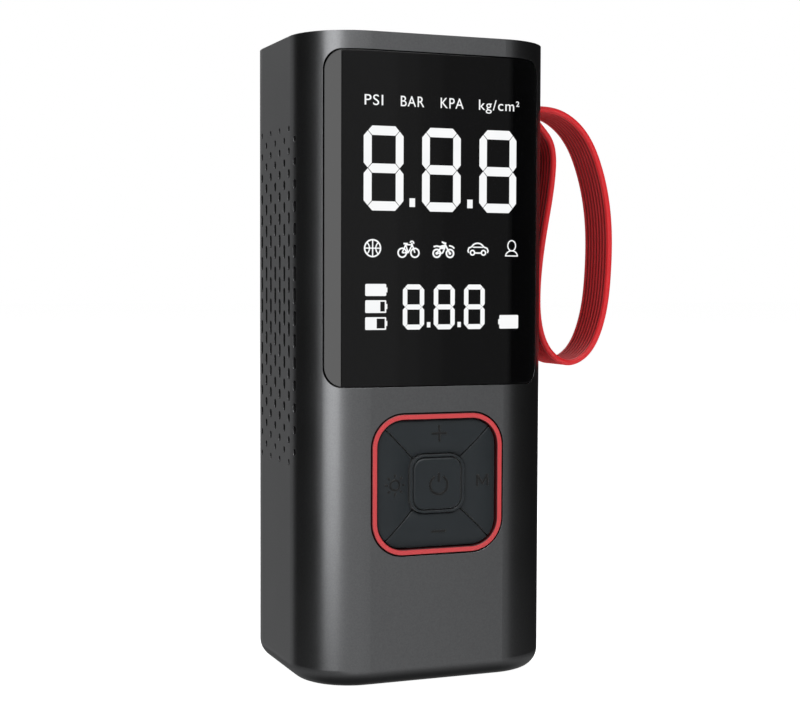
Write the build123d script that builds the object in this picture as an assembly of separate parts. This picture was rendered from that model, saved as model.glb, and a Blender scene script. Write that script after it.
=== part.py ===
from build123d import *
import math
import os

# Portable tire inflator. Millimetres, +Z up, the front faces -Y, +X is to the right seen from the front.
# The origin is the centre of the base pad's underside, which the inflator stands on.

# ---- Driving dimensions ---------------------------------------------------------------------------
# Housing
width = 65.0
depth = 53.5
height = 156.0
corner_r = 15.25
base_fillet = 4.4
wall = 2.2
pad_proud = 0.5
base_pad_w = 46.0
base_pad_d = 28.0
base_pad_r = 7.0
base_pad_recess = 0.8
base_groove_w = 1.2
base_groove_pitch = 5.0
rear_cover_depth = 7.75
lip_depth = 1.5
lip_wall = 1.0
fit_gap = 0.15

# Top cap
cap_t = 2.4
ledge_h = 1.6
ledge_w = 1.4

# Display
lens_half_w = 27.9
lens_h = 79.45
lens_top_margin = 4.25
lens_corner_x = 3.6
lens_corner_z = 4.7
lens_t = 1.2
lens_gap = 0.3
glue_t = 0.1
module_w = 43.0
module_low_margin = 9.7
module_top_margin = 5.75
module_t = 5.0
module_gap = 0.4
module_setback = 0.75
board_t = 1.2
board_margin = 2.5

# Keypad
pad_z = 48.85
pad_size = 33.9
pad_corner_r = 8.1
pad_gap = 0.3
ring_w = 1.4
ring_proud = 0.15
key_gap = 0.3
key_recess = 0.35
key_cap_t = 1.8
key_crown_r = 13.0
key_travel = 0.6
key_seam = 0.4
centre_key = 12.4
centre_key_r = 2.8
centre_rim_gap = 0.28
centre_rim_w = 0.55
key_frame_t = 1.6
key_frame_rim = 2.2
frame_rib_w = 1.6
plunger_r = 1.5
plunger_l = 1.2
mat_t = 0.5
mat_gap = 0.2
switch_size = 4.5
switch_t = 1.6
switch_stem_r = 0.9
switch_stem_l = 0.5
switch_gap = 0.4

# Air slots on both sides
slot_pitch_y = 3.75
slot_pitch_z = 5.36
slot_centre_z = 93.8
slot_w = 1.7
slot_h_max = 4.1
slot_h_min = 1.5
slot_rows = 16
slot_columns = 7
slot_blind = 0.35

# Hand strap
strap_w = 13.2
strap_t = 1.55
strap_drop = 14.8
strap_tail_gap = 0.1
strap_slot_gap = 0.25
clamp_depth = 6.0
clamp_wall = 1.6
strap_pin_r = 1.2

# Screws that close the housing
boss_r = 3.2
boss_inset = 8.9
boss_low_z = 13.0
boss_middle_lift = 8.0
boss_length = 11.0
screw_r = 1.0
screw_head_r = 2.3
screw_head_t = 1.7
screw_head_depth = 2.85
thread_gap = 0.02
seat_gap = 0.02

# Battery
cell_r = 9.2
cell_length = 65.0
cell_pitch = 19.4
cell_y = 9.8
cell_z0 = 5.0
tray_wall = 1.0
tray_gap = 0.15
tray_rib_w = 1.6
link_t = 0.25

# Motor
motor_y = 3.0
motor_r = 12.2
motor_wall = 1.0
motor_length = 29.0
motor_end_t = 2.0
magnet_t = 1.9
air_gap = 0.6
shaft_r = 1.15
shaft_gap = 0.03
bush_r = 2.6
armature_length = 17.0
commutator_r = 3.2
commutator_length = 3.6
fan_r = 11.2
fan_t = 4.0
fan_hub_r = 3.0
fan_blades = 7

# Gears and crank
gear_module = 0.6
pinion_teeth = 12
gear_teeth = 48
gear_t = 3.9
backlash = 0.16
frame_t = 2.0
gear_lift = 0.6
crank_throw = 3.0
axle_r = 2.5
crank_bush_wall = 1.4
web_r = 9.0
rod_lift = 1.4
crank_pin_r = 2.0
rod_t = 5.0
rod_w = 5.0
rod_big_r = 5.0
rod_small_r = 3.0
rod_length = 22.0
rod_bush_wall = 1.0
wrist_pin_r = 1.5
wrist_pin_length = 9.0
cylinder_drop = 28.0
cylinder_lift = 5.5

# Cylinder and piston
bore_r = 9.0
cylinder_wall = 1.5
fin_reach = 2.0
fin_t = 1.0
fin_count = 7
cylinder_length = 20.5
piston_gap = 0.05
skirt_wall = 1.0
skirt_length = 14.0
crown_t = 2.0
crown_clearance = 0.7
rod_end_gap = 0.3
valve_t = 0.6
head_t = 3.6
head_side_gap = 1.1
head_inset = 0.3
bracket_t = 2.0

# Hose port, air tube, torch, charging socket
port_x = -14.0
port_y = 3.0
port_r = 6.6
port_flange_r = 7.6
port_flange_t = 1.0
port_length = 12.0
port_bore_r = 3.85
port_bore_depth = 9.0
port_nut_t = 2.5
tube_bore_r = 1.6
tube_wall = 1.0
tube_bend_r = 4.2
spout_l = 2.2
torch_x = 15.0
torch_r = 7.4
torch_lens_t = 1.5
reflector_h = 7.0
led_board_t = 1.2
usb_y = -14.0
usb_w = 9.0
usb_h = 3.2
usb_depth = 7.4
usb_opening_w = 8.4
usb_opening_h = 2.6

# ---- Sizes that follow from them ------------------------------------------------------------------
front_y = -depth / 2
back_y = depth / 2
side_x = width / 2
boss_x = side_x - boss_inset
fin_r = bore_r + cylinder_wall + fin_reach
shell_z0 = pad_proud
split_y = back_y - rear_cover_depth
inner_side_x = side_x - wall
inner_front_y = front_y + wall
ledge_z = height - cap_t
lens_z1 = height - lens_top_margin
lens_z0 = lens_z1 - lens_h
module_z0 = lens_z0 + module_low_margin
module_z1 = lens_z1 - module_top_margin
strap_z = height - strap_drop
clamp_half_h = strap_t + strap_tail_gap + clamp_wall
boss_top_z = strap_z + clamp_half_h + boss_r + fit_gap
boss_z = (boss_low_z, cell_z0 + cell_length + boss_middle_lift, boss_top_z)
cylinder_z = height - cylinder_drop
frame_top = cylinder_z - fin_r - cylinder_lift
frame_z = frame_top - frame_t
gear_z = frame_top + gear_lift
gear_top = gear_z + gear_t
web_top = cylinder_z - rod_t / 2 - rod_lift
head_x = head_side_gap - inner_side_x
cylinder_end_x = head_x + head_t + valve_t
cylinder_open_x = cylinder_end_x + cylinder_length
piston_top_x = cylinder_end_x + crown_clearance
crown_inner_x = piston_top_x + crown_t
wrist_x = crown_inner_x + rod_end_gap + 2 * crank_throw + rod_small_r
crank_x = wrist_x + rod_length + crank_throw
crank_y = motor_y
motor_x = crank_x - gear_module * (pinion_teeth + gear_teeth) / 2
key_face_y = front_y + key_recess
key_back_y = key_face_y + key_cap_t
frame_front_y = inner_front_y + seat_gap
key_frame_back_y = frame_front_y + key_frame_t
plunger_end_y = key_back_y + plunger_l
mat_y = max(plunger_end_y + key_travel + mat_gap, key_frame_back_y + mat_gap)
stem_y = mat_y + mat_t + switch_gap
switch_y = stem_y + switch_stem_l
button_board_y = switch_y + switch_t
module_y = front_y + lens_t + glue_t + module_setback
display_board_y = module_y + module_t
key_field = pad_size - 2 * ring_w - 2 * key_gap
key_field_r = pad_corner_r - ring_w - key_gap
rim_inner = centre_key + 2 * centre_rim_gap
rim_outer = rim_inner + 2 * centre_rim_w
centre_field = rim_outer + 2 * key_gap
centre_field_r = centre_key_r + centre_rim_gap + centre_rim_w + key_gap
slot_half_band = slot_pitch_z * (slot_rows - 1) / 2


# ---- Small makers ---------------------------------------------------------------------------------
def block(x0, x1, y0, y1, z0, z1):
    """A rectangular block between two corners."""
    return Pos((x0 + x1) / 2, (y0 + y1) / 2, (z0 + z1) / 2) * Box(x1 - x0, y1 - y0, z1 - z0)


def post_z(r, x, y, z0, z1):
    """A round post along Z."""
    return Pos(x, y, (z0 + z1) / 2) * Cylinder(r, z1 - z0)


def post_y(r, x, z, y0, y1):
    """A round post along Y."""
    return Pos(x, (y0 + y1) / 2, z) * Rot(90, 0, 0) * Cylinder(r, y1 - y0)


def post_x(r, y, z, x0, x1):
    """A round post along X."""
    return Pos((x0 + x1) / 2, y, z) * Rot(0, 90, 0) * Cylinder(r, x1 - x0)


def slab(inset, z0, z1):
    """The housing's plan outline, moved in by inset, raised from z0 to z1."""
    plan = RectangleRounded(width - 2 * inset, depth - 2 * inset, corner_r - inset)
    return extrude(Pos(0, 0, z0) * plan, z1 - z0)


def front_prism(face, y0, y1):
    """A face drawn in X and Z, carried from y0 to y1."""
    return Pos(0, y0, 0) * extrude(Plane.XZ * face, -(y1 - y0))


def pad_square(size, radius):
    """A rounded square centred on the keypad, drawn in X and Z."""
    return Pos(0, pad_z) * RectangleRounded(size, size, radius)


def lens_face(gap):
    """The display's outline: straight sides and elliptical corners, moved in by gap."""
    hw = lens_half_w - gap
    z0 = lens_z0 + gap
    z1 = lens_z1 - gap
    rx = lens_corner_x
    rz = lens_corner_z
    outline = Line((-hw + rx, z0), (hw - rx, z0))
    outline += EllipticalCenterArc((hw - rx, z0 + rz), rx, rz, 270, arc_size=90)
    outline += Line((hw, z0 + rz), (hw, z1 - rz))
    outline += EllipticalCenterArc((hw - rx, z1 - rz), rx, rz, 0, arc_size=90)
    outline += Line((hw - rx, z1), (-hw + rx, z1))
    outline += EllipticalCenterArc((-hw + rx, z1 - rz), rx, rz, 90, arc_size=90)
    outline += Line((-hw, z1 - rz), (-hw, z0 + rz))
    outline += EllipticalCenterArc((-hw + rx, z0 + rz), rx, rz, 180, arc_size=90)
    return make_face(outline)


def slot_size(z):
    """Air slots are tallest at mid height and shrink evenly towards both ends of the band."""
    share = 1 - abs(z - slot_centre_z) / slot_half_band
    h = slot_h_min + (slot_h_max - slot_h_min) * max(share, 0)
    return min(slot_w, 0.8 * h), h


def slot_places():
    """Every air slot as (y, z), with neighbouring columns staggered by half a pitch."""
    places = []
    for column in range(slot_columns):
        y = (column - (slot_columns - 1) / 2) * slot_pitch_y + slot_pitch_y / 6
        rows = slot_rows if column % 2 == 0 else slot_rows - 1
        for row in range(rows):
            places.append((y, slot_centre_z + (row - (rows - 1) / 2) * slot_pitch_z))
    return places


def slot_tool(y, z):
    """One upright round-ended air slot as a face on the left side plane."""
    w, h = slot_size(z)
    return Plane((-side_x, y, z), x_dir=(0, 0, 1), z_dir=(1, 0, 0)) * SlotOverall(h, w)


def air_slots():
    """All the through slots: faces on the left plane, carried across the whole housing."""
    faces = Sketch() + [slot_tool(y, z) for y, z in slot_places()]
    return extrude(Pos(-1, 0, 0) * faces, width + 2)


def blind_slots():
    """One more column on each front corner, only a shallow mark in the wall."""
    y = -((slot_columns + 1) / 2) * slot_pitch_y + slot_pitch_y / 6
    rows = slot_rows - 1
    drop = corner_r - math.sqrt(corner_r**2 - (depth / 2 - corner_r + y) ** 2)
    marks = Sketch()
    for row in range(rows):
        marks += slot_tool(y, slot_centre_z + (row - (rows - 1) / 2) * slot_pitch_z)
    left = extrude(Pos(-1, 0, 0) * marks, 1 + drop + slot_blind)
    return left + mirror(left, Plane.YZ)


def strap_points():
    """The strap's middle line: out of the slot, round the hanging loop and back into the slot."""
    up = strap_z + (strap_t + strap_tail_gap) / 2
    low = strap_z - (strap_t + strap_tail_gap) / 2
    loop = [
        (9.1, 0.4),
        (16.4, -3.9),
        (21.7, -13.1),
        (24.8, -27.2),
        (24.9, -41.2),
        (22.3, -56.3),
        (17.8, -63.2),
        (13.1, -64.9),
        (8.4, -62.6),
        (5.0, -56.0),
        (4.2, -47.6),
        (6.2, -29.4),
        (8.3, -15.8),
        (7.3, -7.1),
        (4.2, -3.3),
    ]
    inside = side_x + 0.7
    places = [(inside, up)] + [(side_x + x, strap_z + z) for x, z in loop] + [(inside, low)]
    return places, up, low


def strap_band():
    """The strap: the middle line moved out by half the thickness each way, then given its width."""
    places, up, low = strap_points()
    inside = inner_side_x - clamp_depth + 0.6
    line = Spline(*places, tangents=[(1, 0), (-1, 0)], tangent_scalars=(0.5, 0.5))
    steps = 90
    outer = []
    inner = []
    for step in range(steps + 1):
        at = line @ (step / steps)
        along = line % (step / steps)
        outer.append((at.X - along.Y * strap_t / 2, at.Y + along.X * strap_t / 2))
        inner.append((at.X + along.Y * strap_t / 2, at.Y - along.X * strap_t / 2))
    h = strap_t / 2
    edge = Line((inside, up + h), outer[0]) + Spline(*outer)
    edge += Line(outer[-1], (inside, low - h))
    edge += Line((inside, low - h), (inside, low + h))
    edge += Line((inside, low + h), inner[-1]) + Spline(*inner[::-1])
    edge += Line(inner[0], (inside, up - h))
    edge += Line((inside, up - h), (inside, up + h))
    return front_prism(make_face(edge), -strap_w / 2, strap_w / 2)


def gear_face(teeth, addendum, dedendum, turn):
    """An involute gear: each flank follows the unwinding of the base circle."""
    pitch_r = gear_module * teeth / 2
    base_r = pitch_r * math.cos(math.radians(20))
    tip_r = pitch_r + addendum * gear_module
    root_r = pitch_r - dedendum * gear_module
    half_tooth = (math.pi * gear_module / 2 - backlash) / 2 / pitch_r

    def involute(r):
        a = math.acos(min(1.0, base_r / r))
        return math.tan(a) - a

    start_r = max(root_r, base_r)
    flank = [start_r + (tip_r - start_r) * k / 4 for k in range(5)]
    points = []
    for tooth in range(teeth):
        middle = turn + 2 * math.pi * tooth / teeth
        side = [(r, half_tooth + involute(pitch_r) - involute(r)) for r in flank]
        if root_r < base_r:
            side = [(root_r, side[0][1])] + side
        for r, a in side:
            points.append((r * math.cos(middle - a), r * math.sin(middle - a)))
        for r, a in side[::-1]:
            points.append((r * math.cos(middle + a), r * math.sin(middle + a)))
    return make_face(Polyline(*points, close=True))


# ---- Housing --------------------------------------------------------------------------------------
def outer_body():
    body = slab(0, shell_z0, height)
    return fillet(body.faces().sort_by(Axis.Z)[0].edges(), base_fillet)


def inner_space():
    space = slab(wall, shell_z0 + wall, height + 1)
    return fillet(space.faces().sort_by(Axis.Z)[0].edges(), base_fillet - wall)


def cap_ledge():
    ring = slab(wall - 0.2, ledge_z - ledge_h, ledge_z)
    return ring - slab(wall + ledge_w, ledge_z - ledge_h - 1, ledge_z + 1)


def side_bosses(y0, y1, r):
    return Part() + [post_y(r, sx * boss_x, z, y0, y1) for sx in (-1, 1) for z in boss_z]


def base_pad_plan(gap):
    return RectangleRounded(base_pad_w + 2 * gap, base_pad_d + 2 * gap, base_pad_r + gap)


def closed_shell():
    """Both housing halves before they are split: wall, ledge and the base pad's recess."""
    shell = outer_body() - inner_space() + cap_ledge()
    return shell - extrude(Pos(0, 0, shell_z0 - 1) * base_pad_plan(fit_gap), 1 + base_pad_recess)


def strap_slot(gap):
    h = 2 * strap_t + strap_tail_gap + 2 * gap
    w = strap_w + 2 * gap
    face = RectangleRounded(w, h, 0.5)
    place = Plane((inner_side_x - 2, 0, strap_z), x_dir=(0, 1, 0), z_dir=(1, 0, 0))
    return extrude(place * face, wall + 4)


def front_housing(shell):
    front = shell & block(-width, width, -depth, split_y, -1, height + 1)
    inside = slab(wall - 0.1, shell_z0 + wall, height - 1)
    for z in boss_z:
        for sx in (-1, 1):
            rib_x = sorted((sx * boss_x, sx * (inner_side_x + 0.1)))
            rib = block(rib_x[0], rib_x[1], split_y - boss_length, split_y, z - 1, z + 1)
            front += rib & inside
    front += side_bosses(split_y - boss_length, split_y, boss_r) & inside
    front -= side_bosses(split_y - boss_length + 1.5, split_y + 1, screw_r + thread_gap)
    front += frame_ledges() & inside
    recess = slab(-1, lens_z0 - 1, height - 1) - slab(lens_t + glue_t, lens_z0 - 2, height)
    front -= recess & front_prism(lens_face(0), front_y - 1, 0)
    window_x = module_w / 2 + module_gap
    window_z = (module_z0 - module_gap, module_z1 + module_gap)
    front -= block(-window_x, window_x, front_y - 1, inner_front_y + 1, *window_z)
    hole = pad_square(pad_size + 2 * pad_gap, pad_corner_r + pad_gap)
    front -= front_prism(hole, front_y - 1, inner_front_y + 1)
    front -= air_slots() & block(-width, width, -depth, split_y - 1, 0, height)
    front -= blind_slots()
    front -= strap_slot(strap_slot_gap)
    return front


def lip_keepers():
    """The rear cover's lip stops short of the screw bosses and of the ribs that hold them."""
    r = boss_r + 1
    return Part() + [block(-width, width, split_y - 5, split_y + 1, z - r, z + r) for z in boss_z]


def rear_cover(shell):
    rear = shell & block(-width, width, split_y + seat_gap, depth, -1, height + 1)
    inside = slab(wall - 0.1, shell_z0 + wall, height - 1)
    rear += side_bosses(split_y + seat_gap, back_y - 0.5, screw_head_r + 1.2) & inside
    head_y = split_y + rear_cover_depth - screw_head_t - screw_head_depth
    rear -= side_bosses(head_y, back_y + 1, screw_head_r + 0.15)
    rear -= side_bosses(split_y - 1, head_y + 1, screw_r + 0.2)
    z0 = shell_z0 + wall + 3
    z1 = ledge_z - ledge_h - 1
    hollow = slab(wall + fit_gap + lip_wall, -1, height + 1)
    lip = slab(wall + fit_gap, z0, z1) - hollow
    lip &= block(-width, width, split_y - lip_depth, split_y + 1, -1, height)
    join = slab(wall - 0.1, z0, z1) - hollow
    join &= block(-width, width, split_y + seat_gap, split_y + 1, -1, height)
    return rear + ((lip + join) - lip_keepers())


def frame_ledges():
    """Two shelves behind the air slots that carry the compressor frame."""
    shelves = Part()
    for sx in (-1, 1):
        xs = sorted((sx * ear_x0(), sx * (inner_side_x + 0.1)))
        shelf = block(xs[0], xs[1], ear_y0(), ear_y0() + ear_w(), frame_z - 3, frame_z)
        shelves += shelf - post_z(screw_r + thread_gap, sx * ear_x(), ear_y(), frame_z - 4, frame_z + 1)
    return shelves


def ear_w():
    return 2 * screw_head_r + 0.6


def ear_x0():
    return inner_side_x - ear_w() - 1.4


def ear_x():
    return ear_x0() + ear_w() / 2


def ear_y0():
    return split_y - lip_depth - fit_gap - ear_w() - 0.4


def ear_y():
    return ear_y0() + ear_w() / 2


def top_cap():
    cap = slab(wall + fit_gap, ledge_z, height)
    cap = chamfer(cap.faces().sort_by(Axis.Z)[-1].edges(), 0.3)
    cap -= post_z(port_flange_r + 0.1, port_x, port_y, height - port_flange_t - 0.6, height + 1)
    cap -= post_z(port_r + 0.1, port_x, port_y, ledge_z - 1, height + 1)
    cap -= post_z(torch_r + 0.1, torch_x, port_y, ledge_z - 1, height + 1)
    cap -= extrude(Pos(0, usb_y, ledge_z - 1) * RectangleRounded(usb_w + 0.3, usb_h + 0.3, 1.6), cap_t + 2)
    legs_inset = wall + ledge_w + fit_gap
    legs = slab(legs_inset, ledge_z - ledge_h - 1.2, ledge_z) - slab(legs_inset + 1.2, 0, height)
    return cap + (legs & block(-6, 6, -depth, depth, 0, height))


def base_pad():
    """Anti-slip pad with grooves across it, bonded into the base."""
    pad = extrude(base_pad_plan(0), shell_z0 + base_pad_recess - thread_gap)
    count = int((base_pad_w / 2 - base_pad_r) // base_groove_pitch)
    half_l = base_pad_d / 2 - 2
    for k in range(-count, count):
        x = (k + 0.5) * base_groove_pitch
        pad -= block(x - base_groove_w / 2, x + base_groove_w / 2, -half_l, half_l, -1, pad_proud * 0.6)
    return pad


def cross_recess_y(x, z, y):
    arm = screw_head_r * 1.2
    tool = block(x - arm / 2, x + arm / 2, y - 0.9, y + 0.1, z - 0.25, z + 0.25)
    return tool + block(x - 0.25, x + 0.25, y - 0.9, y + 0.1, z - arm / 2, z + arm / 2)


def cover_screws():
    """Six pan-head screws from the back into the front housing's bosses."""
    screws = Part()
    head_y = split_y + rear_cover_depth - screw_head_t - screw_head_depth
    for sx in (-1, 1):
        for z in boss_z:
            x = sx * boss_x
            screw = post_y(screw_head_r, x, z, head_y + seat_gap, head_y + screw_head_t)
            screw += post_y(screw_r, x, z, split_y - boss_length + 2.5, head_y + 0.1)
            screws += screw - cross_recess_y(x, z, head_y + screw_head_t)
    return screws


# ---- Display --------------------------------------------------------------------------------------
def display_lens():
    skin = slab(0, lens_z0 - 1, height - 1) - slab(lens_t, lens_z0 - 2, height)
    return skin & front_prism(lens_face(lens_gap), front_y - 1, 0)


def display_module():
    module = block(-module_w / 2, module_w / 2, module_y, display_board_y, module_z0, module_z1)
    return chamfer(module.edges().filter_by(Axis.Y), 1.0)


def display_board():
    hw = module_w / 2 + board_margin
    y0 = display_board_y + seat_gap
    return block(-hw, hw, y0, y0 + board_t, module_z0 - board_margin, module_z1 + board_margin)


# ---- Keypad ---------------------------------------------------------------------------------------
def keypad_ring():
    ring = pad_square(pad_size, pad_corner_r) - pad_square(pad_size - 2 * ring_w, pad_corner_r - ring_w)
    body = front_prism(ring, front_y - ring_proud, frame_front_y - seat_gap)
    return fillet(body.faces().sort_by(Axis.Y)[0].edges(), 0.3)


def key_frame():
    """Black frame behind the ring: a plate, four ribs under the seams and the centre key's rim."""
    outer = pad_size + 2 * key_frame_rim
    opening = pad_size - 2 * ring_w
    plate = pad_square(outer, pad_corner_r + key_frame_rim) - pad_square(opening, pad_corner_r - ring_w)
    frame = front_prism(plate, frame_front_y, key_frame_back_y) & slab(wall + seat_gap, 0, height)
    rim = pad_square(rim_outer, centre_key_r + centre_rim_gap + centre_rim_w)
    rim -= pad_square(rim_inner, centre_key_r + centre_rim_gap)
    frame += front_prism(rim, key_face_y - 0.1, key_frame_back_y)
    rib_y = key_back_y + key_travel + 0.25
    span = opening * 1.5
    ribs = Rectangle(span, frame_rib_w, rotation=45) + Rectangle(span, frame_rib_w, rotation=-45)
    cross = (Pos(0, pad_z) * ribs) & pad_square(opening + 1, pad_corner_r)
    cross -= pad_square(rim_inner, centre_key_r + centre_rim_gap)
    return frame + front_prism(cross, rib_y, key_frame_back_y)


def outer_key(turn):
    """One of the four keys around the centre: a wedge of the ring's field with a crowned face."""
    half = key_field / 2
    inner = centre_field / 2
    field = RectangleRounded(key_field, key_field, key_field_r)
    field -= RectangleRounded(centre_field, centre_field, centre_field_r)
    cut = key_seam / math.sqrt(2)
    wedge = make_face(Polyline((0, cut), (half + 2, half + 2 + cut), (-half - 2, half + 2 + cut), close=True))
    key = extrude(Plane.XZ * (field & wedge), -key_cap_t)
    middle = (half + inner) / 2
    key &= Pos(0, key_crown_r, middle) * Rot(0, 90, 0) * Cylinder(key_crown_r, key_field * 2)
    key += post_y(plunger_r, 0, middle, key_cap_t - 0.1, key_cap_t + plunger_l)
    return Pos(0, key_face_y, pad_z) * Rot(0, turn, 0) * key


def power_key():
    face = pad_square(centre_key, centre_key_r)
    key = front_prism(face, key_face_y - 0.15, key_back_y)
    key = fillet(key.faces().sort_by(Axis.Y)[0].edges(), 0.5)
    return key + post_y(plunger_r, 0, pad_z, key_back_y - 0.1, plunger_end_y)


def key_centres():
    middle = (key_field / 2 + centre_field / 2) / 2
    return [(0, 0), (0, middle), (0, -middle), (-middle, 0), (middle, 0)]


def key_mat():
    size = pad_size - 1
    return front_prism(pad_square(size, pad_corner_r - 0.5), mat_y, mat_y + mat_t)


def key_switches():
    group = Part()
    for x, z in key_centres():
        h = switch_size / 2
        body = block(x - h, x + h, switch_y, button_board_y, pad_z + z - h, pad_z + z + h)
        group += body + post_y(switch_stem_r, x, pad_z + z, stem_y, switch_y + 0.1)
    return group


def button_board():
    half = pad_size / 2 + 1.5
    y = button_board_y + seat_gap
    return block(-half, half, y, y + board_t, pad_z - half, pad_z + half)


# ---- Strap ----------------------------------------------------------------------------------------
def strap_pin_x():
    return inner_side_x - clamp_depth / 2


def hand_strap():
    return strap_band() - post_z(strap_pin_r + thread_gap, strap_pin_x(), 0, strap_z - 5, strap_z + 5)


def strap_clamp():
    half_w = strap_w / 2 + strap_slot_gap + clamp_wall
    x0 = inner_side_x - clamp_depth
    z0 = strap_z - clamp_half_h
    clamp = block(x0, inner_side_x - fit_gap, -half_w, half_w, z0, strap_z + clamp_half_h)
    h = strap_t + strap_tail_gap / 2 + 0.05
    w = strap_w / 2 + 0.1
    clamp -= block(x0 + 0.5, inner_side_x + 1, -w, w, strap_z - h, strap_z + h)
    return clamp - post_z(strap_pin_r + thread_gap, strap_pin_x(), 0, strap_z - 8, strap_z + 8)


def strap_pin():
    half = clamp_half_h - 0.2
    return post_z(strap_pin_r, strap_pin_x(), 0, strap_z - half, strap_z + half)


# ---- Battery --------------------------------------------------------------------------------------
def cell_xs():
    return (-cell_pitch / 2, cell_pitch / 2)


def battery_cells():
    cells = Part()
    for x in cell_xs():
        cell = post_z(cell_r, x, cell_y, cell_z0, cell_z0 + cell_length - 1)
        cell = fillet(cell.edges().filter_by(GeomType.CIRCLE), 0.6)
        cells += cell + post_z(2.8, x, cell_y, cell_z0 + cell_length - 1.1, cell_z0 + cell_length)
    return cells


def cell_links():
    reach = cell_pitch / 2 + 3
    links = block(-reach, reach, cell_y - 3, cell_y + 3, cell_z0 - link_t, cell_z0 - seat_gap)
    top = cell_z0 + cell_length + seat_gap
    for x in cell_xs():
        links += block(x - 3, x + 3, cell_y - 3, cell_y + 3, top, top + link_t)
    return links


def battery_tray():
    """An open box round both cells, with two ribs at its back that stand against the rear cover."""
    half = cell_pitch / 2 + cell_r + tray_gap + tray_wall
    y0 = cell_y - cell_r * 0.4
    y1 = cell_y + cell_r + tray_gap + tray_wall
    z0 = cell_z0 - link_t - tray_gap - tray_wall
    z1 = cell_z0 + cell_length + link_t + tray_gap + tray_wall
    tray = block(-half, half, y0, y1, z0, z1)
    for x in cell_xs():
        rib_x = (x - tray_rib_w / 2, x + tray_rib_w / 2)
        tray += block(*rib_x, y1 - 0.5, back_y - wall - seat_gap, z0 + 6, z1 - 2)
        tray -= post_z(cell_r + tray_gap, x, cell_y, z0 + tray_wall, z1 - tray_wall)
    return tray - block(-1.5, 1.5, y0 - 1, cell_y + 3.2, z0 + tray_wall, z1 - tray_wall)


# ---- Motor ----------------------------------------------------------------------------------------
def motor_z0():
    return frame_z - 0.1 - motor_length


def motor_can():
    z0 = motor_z0()
    z1 = frame_z - 0.1
    can = post_z(motor_r, motor_x, motor_y, z0, z1)
    can -= post_z(motor_r - motor_wall, motor_x, motor_y, z0 - 1, z1 - motor_wall)
    can = fillet(can.faces().sort_by(Axis.Z)[-1].edges().sort_by(SortBy.LENGTH)[-1], 0.8)
    return can - post_z(bush_r + thread_gap, motor_x, motor_y, z1 - 2, z1 + 1)


def motor_end_bell():
    z0 = motor_z0()
    bell = post_z(motor_r - motor_wall - 0.05, motor_x, motor_y, z0 + 0.1, z0 + motor_end_t)
    return bell - post_z(bush_r + thread_gap, motor_x, motor_y, z0 - 1, z0 + motor_end_t + 1)


def motor_bushes():
    """A bush in the end bell and one in the can's nose, both on the shaft with a running clearance."""
    bushes = Part()
    for z0, z1 in ((motor_z0() - 0.4, motor_z0() + motor_end_t), (frame_z - 2.2, frame_z + 1.2)):
        bush = post_z(bush_r, motor_x, motor_y, z0, z1)
        bushes += bush - post_z(shaft_r + shaft_gap, motor_x, motor_y, z0 - 1, z1 + 1)
    return bushes


def motor_magnets():
    outer = motor_r - motor_wall - seat_gap
    z0 = motor_z0() + 6
    z1 = z0 + armature_length + 1
    ring = post_z(outer, motor_x, motor_y, z0, z1)
    ring -= post_z(outer - magnet_t, motor_x, motor_y, z0 - 1, z1 + 1)
    return ring - block(motor_x - 3, motor_x + 3, motor_y - motor_r, motor_y + motor_r, z0 - 1, z1 + 1)


def armature():
    """Three laminated poles on the shaft with their windings."""
    r = motor_r - motor_wall - magnet_t - air_gap
    z0 = motor_z0() + 6.5
    body = post_z(r, motor_x, motor_y, z0, z0 + armature_length)
    for k in range(3):
        gap = block(r * 0.35, r + 1, -1.2, 1.2, z0 - 1, z0 + armature_length + 1)
        body -= Pos(motor_x, motor_y, 0) * Rot(0, 0, 60 + 120 * k) * gap
    return body - post_z(shaft_r + thread_gap, motor_x, motor_y, z0 - 1, z0 + armature_length + 1)


def commutator():
    z0 = motor_z0() + motor_end_t + 0.4
    ring = post_z(commutator_r, motor_x, motor_y, z0, z0 + commutator_length)
    return ring - post_z(shaft_r + thread_gap, motor_x, motor_y, z0 - 1, z0 + commutator_length + 1)


def motor_shaft():
    return post_z(shaft_r, motor_x, motor_y, fan_z() - 0.4, gear_top + 0.4)


def pinion():
    face = gear_face(pinion_teeth, 1.0, 1.15, math.pi / pinion_teeth)
    body = extrude(Pos(motor_x, motor_y, gear_z - 0.1) * face, gear_t + 0.4)
    return body - post_z(shaft_r + thread_gap, motor_x, motor_y, gear_z - 1, gear_top + 2)


def fan_z():
    return motor_z0() - 1.2 - fan_t


def cooling_fan():
    z0 = fan_z()
    fan = post_z(fan_hub_r, 0, 0, 0, fan_t)
    blade = Rot(35, 0, 0) * Box(fan_r - fan_hub_r + 1, 0.8, fan_t * 0.95)
    blade = Pos((fan_hub_r + fan_r) / 2, 0, fan_t / 2) * blade
    for k in range(fan_blades):
        fan += Rot(0, 0, 360 * k / fan_blades) * blade
    fan &= post_z(fan_r, 0, 0, 0, fan_t)
    return Pos(motor_x, motor_y, z0) * (fan - post_z(shaft_r + thread_gap, 0, 0, -1, fan_t + 1))


# ---- Crank train ----------------------------------------------------------------------------------
def frame_ear(arm_x, y1):
    """The right ear of the frame with the arm that joins it to the plate, from arm_x outwards."""
    ear = block(ear_x0(), ear_x0() + ear_w(), ear_y0(), ear_y0() + ear_w(), frame_z + seat_gap, frame_top)
    return ear + block(arm_x, ear_x0() + 2, ear_y0(), y1, frame_z + seat_gap, frame_top)


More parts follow.
